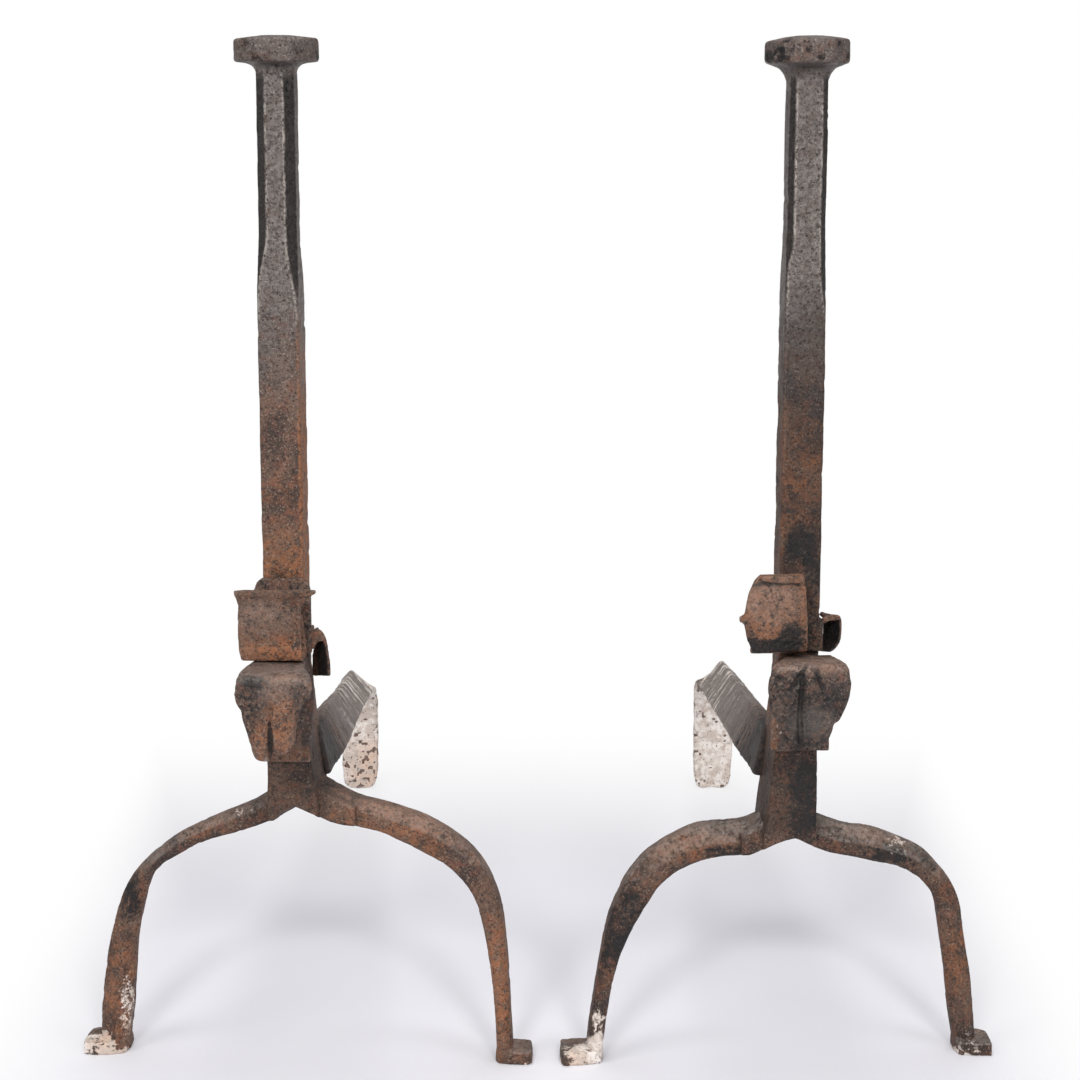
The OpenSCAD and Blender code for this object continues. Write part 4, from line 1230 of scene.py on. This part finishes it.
CRADLE_SPOTS = {
    LEFT: dict(
        orange=[(0.6, (6, -38, 261), (14, 12, 8)), (0.35, (-10, -38, 260), (12, 12, 5))],
        soot=[(0.28, (0, -38, 292), (22, 12, 4)), (0.25, (-12, -38, 268), (9, 8, 7))],
        dust=[(0.25, (-8, -38, 282), (16, 8, 12))]),
    RIGHT: dict(
        orange=[(-0.2, (20, -38, 300), (14, 12, 5))],
        soot=[(0.95, (26, -38, 263.5), (12, 12, 5)), (0.8, (9, -38, 268), (9, 10, 10)),
              (0.45, (34, -38, 274), (6, 8, 8)), (0.4, (5, -38, 290), (5, 8, 12))],
        dust=[(0.3, (20, -38, 290), (16, 8, 14))]),
}
CRACK_Z = 299.0


def spit_cradle(side):
    """One trough: a bent strip with a lip, winged on the left one, rolled and with a nub on the right one."""
    strip, lip = TROUGHS[side], LIPS[side]
    parts = [bent_strip([row[:2] for row in strip], [row[2:] for row in strip], 1.8, 0.9)]
    parts.append(loft([section((x, y, z), (0, 1, 0), (0, 0, 1), half_y, half_z, lip["bevel"])
                       for x, y, z, half_z, half_y in lip["bar"]]))
    parts += [slab(tab, *lip["tab_y"]) for tab in lip["tabs"]]
    obj = forge(f"{SIDES[side]}_cradle", outward(place(parts, side)), 0.75)
    smooth(obj, 2)
    p, n = get_points(obj)
    y = from_pair(p, side)[:, 1]
    d = 0.26 * fractal(p, 13, 151 + side, 2) + 0.12 * fractal(p, 3.4, 153, 2)
    d -= 0.22 * ramp(noise(p, 4.2, 157), 0.35, 0.8) + 0.1
    # calm where the strip lies against the collar's plate
    d *= 1 - ramp(-y, 0, 16.8) * (1 - ramp(-y, 16.8, 18.5)) * 0.9
    p = p + n * d[:, None]
    set_points(obj, p)
    q = from_pair(p, side)
    orange, soot, dust = (spots(q, CRADLE_SPOTS[side][key]) for key in ("orange", "soot", "dust"))
    if side == LEFT:
        orange += 0.35
        painted_shade_and_tone = 0.25 * ramp(q[:, 2], 262, 276)
    else:
        orange += 0.75
        crack = np.abs(q[:, 2] - CRACK_Z - 1.4 * noise(p, 7, 211))
        painted_shade_and_tone = 0.14 + 0.85 * (1 - ramp(crack, 0.5, 1.4)) * ramp(-q[:, 1], 34, 36) * ramp(q[:, 0], 3, 5)
    dress(obj, side, "spit_cradle", soot, orange, dust=dust, painted_shade_and_tone=painted_shade_and_tone, seed=4 + side)


# Each eye in x and z: the strip's front line, its back line, and the web that closes its top.
EYES = {
    LEFT: ([(15.6, 262.0), (16.0, 265.0), (17.6, 266.4), (20.8, 266.2), (23.2, 262.5), (24.6, 256.0),
            (25.6, 249.0), (25.8, 241.8), (25.2, 240.2)],
           [(16.3, 261.0), (16.4, 263.6), (16.9, 264.4), (17.6, 263.4), (17.4, 260.4), (16.9, 257.4),
            (15.8, 254.6), (14.2, 250.0), (13.9, 244.0), (13.8, 235.6)],
           [(13, 255.9), (13, 266.4), (17, 267.0), (21.4, 266.6), (23.6, 262.6), (22.2, 260.6), (19.8, 260.4),
            (18.2, 258.6), (17.6, 255.9)]),
    RIGHT: ([(14.8, 272.5), (16.4, 274.6), (20.0, 274.8), (22.8, 274.0), (23.9, 269.5), (23.8, 263.5),
             (22.6, 258.8), (20.4, 255.6), (17.6, 253.9)],
            [(14.9, 271.0), (15.4, 272.6), (16.6, 272.6), (17.2, 270.0), (17.2, 265.0), (17.0, 259.6),
             (16.4, 254.0), (15.4, 249.6)],
            [(12.4, 270.6), (12.4, 273.8), (16, 275.2), (22.8, 275.2), (23.9, 272.6), (20.6, 272.4),
             (16.6, 272.0), (14.6, 270.6)]),
}


# The strip's depth, front to back: y, how far towards the back line, and the thickness's share.
EYE_DEPTH = ((-11.9, 0.0, 1.0), (-8.5, 0.2, 1.0), (-1.5, 0.6, 0.95), (5.6, 1.0, 0.85))
EYE_HALF_THICK = {LEFT: 1.1, RIGHT: 0.9}


def side_eye(side):
    """A strip from the collar's side that arches over and hangs down, drawn in towards the back."""
    flip = 1 if side == LEFT else -1
    front, back = (resample(line, 26) for line in EYES[side][:2])
    ahead = np.gradient(front, axis=0)
    ahead /= np.linalg.norm(ahead, axis=1)[:, None]
    rings = []
    for f, b, d in zip(front, back, ahead):
        across = np.array([-d[1], d[0]]) * EYE_HALF_THICK[side]
        ring = []
        for way, rows in ((1, EYE_DEPTH), (-1, reversed(EYE_DEPTH))):
            for y, share, thick in rows:
                x, z = f * (1 - share) + b * share + way * across * thick
                ring.append((flip * x, y, z))
        rings.append(np.array(ring))
    web = slab([(flip * x, z) for x, z in EYES[side][2]], -13.6, -11.6)
    obj = forge(f"{SIDES[side]}_eye", outward(place([loft(rings), web], side)), 0.6)
    smooth(obj, 2)
    p, n = get_points(obj)
    d = 0.16 * fractal(p, 9, 171, 2) + 0.1 * fractal(p, 3, 173, 2) - 0.05
    set_points(obj, p + n * d[:, None])
    q = from_pair(p, side)
    facing = (from_pair(p + n, side) - q)[:, 0] * flip
    x, z = q[:, 0] * flip, q[:, 2]
    # painted shade on the strip's inner face, through both the soot and the shade fields; the eye is also
    # darker low down
    under = ramp(-facing, 0.2, 0.6) * ramp(x, 16.5, 19)
    low = np.interp(z, [240, 262, 275], [0.4, 0.25, 0.0]) + (0.3 if side == RIGHT else 0.0)
    dress(obj, side, "side_eye", low + 0.5 * under, 0.4, bare=0.1,
          painted_shade_and_tone=0.9 * under + 0.25 * (1 - ramp(z, 255, 262)), seed=9)


# A hammered rivet head: radius, and how far it stands out.
RIVET_PROFILE = ((2.4, -4.0), (2.4, -0.3), (4.4, -0.1), (4.5, 0.5), (3.9, 1.1), (2.6, 1.6), (1.0, 1.8))
RIVET_CORNERS = 20
RIVET_FIELDS = dict(soot=0.3, orange=0.3, bare=0.3, edge=0.2, lime=0, peach=0, ash_and_painted_light=0.1, painted_shade_and_tone=0)
CRADLE_RIVET_X = {LEFT: (-8, 4), RIGHT: (1, 11)}


def rivets(side, kind):
    """The two hammered rivet heads of a leaf hook's strap or of a cradle."""
    name = SIDES[side]
    if kind == "strap":
        places = [(0.0, 208.0), (0.0, HOOK_TOP[side] - 20)]
        face, body = -16.75, "andirons"
    else:
        places = [(x, HOOK_TOP[side] + 15.3) for x in CRADLE_RIVET_X[side]]
        face, body = -19.6, f"{name}_slider"
    parts = []
    for x, z in places:
        rings = []
        for r, out in RIVET_PROFILE:
            rings.append(np.array([(x + r * (1 + 0.05 * math.cos(3 * a + x)) * math.cos(a), face - out,
                                    z + r * (1 + 0.06 * math.cos(2 * a + z)) * math.sin(a))
                                   for a in np.linspace(0, 2 * math.pi, RIVET_CORNERS, False)]))
        parts.append(loft(rings))
    obj = mesh_object(f"{name}_{kind}_rivet_heads", outward(place(parts, side)))
    rounded = obj.modifiers.new("round", "SUBSURF")
    rounded.levels = rounded.render_levels = 1
    one = np.ones(len(obj.data.vertices))
    for key, value in RIVET_FIELDS.items():
        field(obj, key, value * one)
    finish_piece(obj, "rivet_iron", body, CRADLE, f"{name}_{kind}_rivets")


# ------------------------------------------------------------------ build
# Rust's scale, depth of the pits, and how metallic the bare iron is.
IRON = iron("forged_iron", 1.0, 1.0, 0.3)
LEAF = iron("leaf_iron", 1.3, 1.1, 0.25)
CRADLE = iron("slider_iron", 1.5, 1.1, 0.2)
BAR = iron("bar_iron", 1.1, 0.8, 0.2)

for s in (LEFT, RIGHT):
    forged_frame(s)
    log_bar(s)
    leaf_hook(s)
    rivets(s, "strap")
    collar(s)
    spit_cradle(s)
    rivets(s, "cradle")
    side_eye(s)

# ------------------------------------------------------------------ stage, light and camera
def emission_where_seen(m, color, strength):
    """A surface that camera, glossy and transmission rays see as plain light."""
    path = m.t.nodes.new("ShaderNodeLightPath")
    e = m.t.nodes.new("ShaderNodeEmission")
    e.inputs[0].default_value = rgba(color)
    e.inputs[1].default_value = strength
    seen = m.math("MAXIMUM", path.outputs["Is Camera Ray"], path.outputs["Is Glossy Ray"])
    return e, m.math("MAXIMUM", seen, path.outputs["Is Transmission Ray"])


# Half the width, the near end and the far end of the floor, in metres.
FLOOR_HALF, FLOOR_NEAR, FLOOR_FAR = 6, -3, 9
# From these distances to these the floor turns into plain white: to both sides and to the back.
WHITE_ASIDE = (0.24, 0.35)
WHITE_BEYOND = (0.0, 0.5)


def floor():
    """Matt paper that fades into a white backdrop, as it does in the picture."""
    mesh = bpy.data.meshes.new("floor")
    corners = [(-FLOOR_HALF, FLOOR_NEAR, 0), (FLOOR_HALF, FLOOR_NEAR, 0), (FLOOR_HALF, FLOOR_FAR, 0),
               (-FLOOR_HALF, FLOOR_FAR, 0)]
    mesh.from_pydata(corners, [], [(0, 1, 2, 3)])
    obj = bpy.data.objects.new("floor", mesh)
    bpy.context.collection.objects.link(obj)
    m = Nodes("floor_paper")
    cloud = m.noise(1.1, 2, 0.5)
    base = m.mix(m.range(cloud, 0.3, 0.7), srgb(232, 231, 237), srgb(238, 237, 242))
    m.put(m.bsdf.inputs["Base Color"], base)
    m.bsdf.inputs["Roughness"].default_value = 0.85
    split = m.t.nodes.new("ShaderNodeSeparateXYZ")
    m.put(split.inputs[0], m.coord)
    e, seen = emission_where_seen(m, (1, 1, 1), 1.0)
    aside = m.range(m.math("ABSOLUTE", split.outputs[0]), *WHITE_ASIDE)
    beyond = m.range(split.outputs[1], *WHITE_BEYOND)
    fade = m.times(m.math("MAXIMUM", aside, beyond), seen)
    blend = m.t.nodes.new("ShaderNodeMixShader")
    m.put(blend.inputs[0], fade)
    m.t.links.new(m.bsdf.outputs[0], blend.inputs[1])
    m.t.links.new(e.outputs[0], blend.inputs[2])
    m.t.links.new(blend.outputs[0], m.out.inputs[0])
    mesh.materials.append(m.mat)


def lamp(name, place_at, target, size, power, color):
    """A softbox at a place, turned to a target: metres and watts."""
    data = bpy.data.lights.new(name, "AREA")
    data.shape = "RECTANGLE"
    data.size, data.size_y = size
    data.energy = power
    data.color = color
    obj = bpy.data.objects.new(name, data)
    bpy.context.collection.objects.link(obj)
    obj.location = place_at
    d = [t - p for t, p in zip(target, place_at)]
    flat = math.hypot(d[0], d[1])
    obj.rotation_euler = (math.atan2(flat, -d[2]), 0, math.atan2(d[1], d[0]) - math.pi / 2)


SOFTBOXES = {
    "front_left_softbox": ((-0.62, -2.75, 1.65), (0, -0.1, 0.15), (0.45, 0.4), 25, (1.0, 0.995, 0.985)),
    "front_right_softbox": ((0.62, -2.75, 1.65), (0, -0.1, 0.15), (0.45, 0.4), 25, (1.0, 0.995, 0.985)),
    "left_softbox": ((-1.6, -1.4, 1.5), (0, -0.1, 0.25), (0.9, 1.1), 9, (1.0, 0.985, 0.97)),
    "right_softbox": ((1.6, -1.4, 1.4), (0, -0.1, 0.25), (0.9, 1.1), 6, (0.98, 0.99, 1.0)),
    "top_softbox": ((0, 0.0, 2.2), (0, 0, 0.2), (1.8, 1.2), 20.5, (1, 1, 1)),
}
ROOM_COLOR, ROOM_LIGHT = (0.95, 0.96, 1.0, 1), 0.3


def studio_world():
    """Dim even light in the room, and plain white where a camera or transmission ray sees past the floor."""
    world = bpy.data.worlds.new("studio")
    bpy.context.scene.world = world
    world.use_nodes = True
    tree = world.node_tree
    tree.nodes.clear()
    shades = []
    for color, strength in ((ROOM_COLOR, ROOM_LIGHT), ((1, 1, 1, 1), 1.0)):
        shade = tree.nodes.new("ShaderNodeBackground")
        shade.inputs[0].default_value = color
        shade.inputs[1].default_value = strength
        shades.append(shade)
    path = tree.nodes.new("ShaderNodeLightPath")
    seen = tree.nodes.new("ShaderNodeMath")
    seen.operation = "MAXIMUM"
    tree.links.new(path.outputs["Is Camera Ray"], seen.inputs[0])
    tree.links.new(path.outputs["Is Transmission Ray"], seen.inputs[1])
    blend = tree.nodes.new("ShaderNodeMixShader")
    tree.links.new(seen.outputs[0], blend.inputs[0])
    tree.links.new(shades[0].outputs[0], blend.inputs[1])
    tree.links.new(shades[1].outputs[0], blend.inputs[2])
    out = tree.nodes.new("ShaderNodeOutputWorld")
    tree.links.new(blend.outputs[0], out.inputs[0])


CAMERA_PLACE = (0.00144, -1.5858, 0.5709)
CAMERA_LENS, CAMERA_SENSOR = 79.13, 36
# Degrees up from looking straight down.
CAMERA_TILT = 79.24


def photo_camera():
    """The camera of the picture, with its place in metres."""
    data = bpy.data.cameras.new("camera")
    data.lens = CAMERA_LENS
    data.sensor_width = CAMERA_SENSOR
    camera = bpy.data.objects.new("camera", data)
    bpy.context.collection.objects.link(camera)
    camera.location = CAMERA_PLACE
    camera.rotation_euler = (math.radians(CAMERA_TILT), 0, 0)
    bpy.context.scene.camera = camera
    bpy.context.scene.view_settings.view_transform = "Standard"


floor()
for softbox, settings in SOFTBOXES.items():
    lamp(softbox, *settings)
studio_world()
photo_camera()
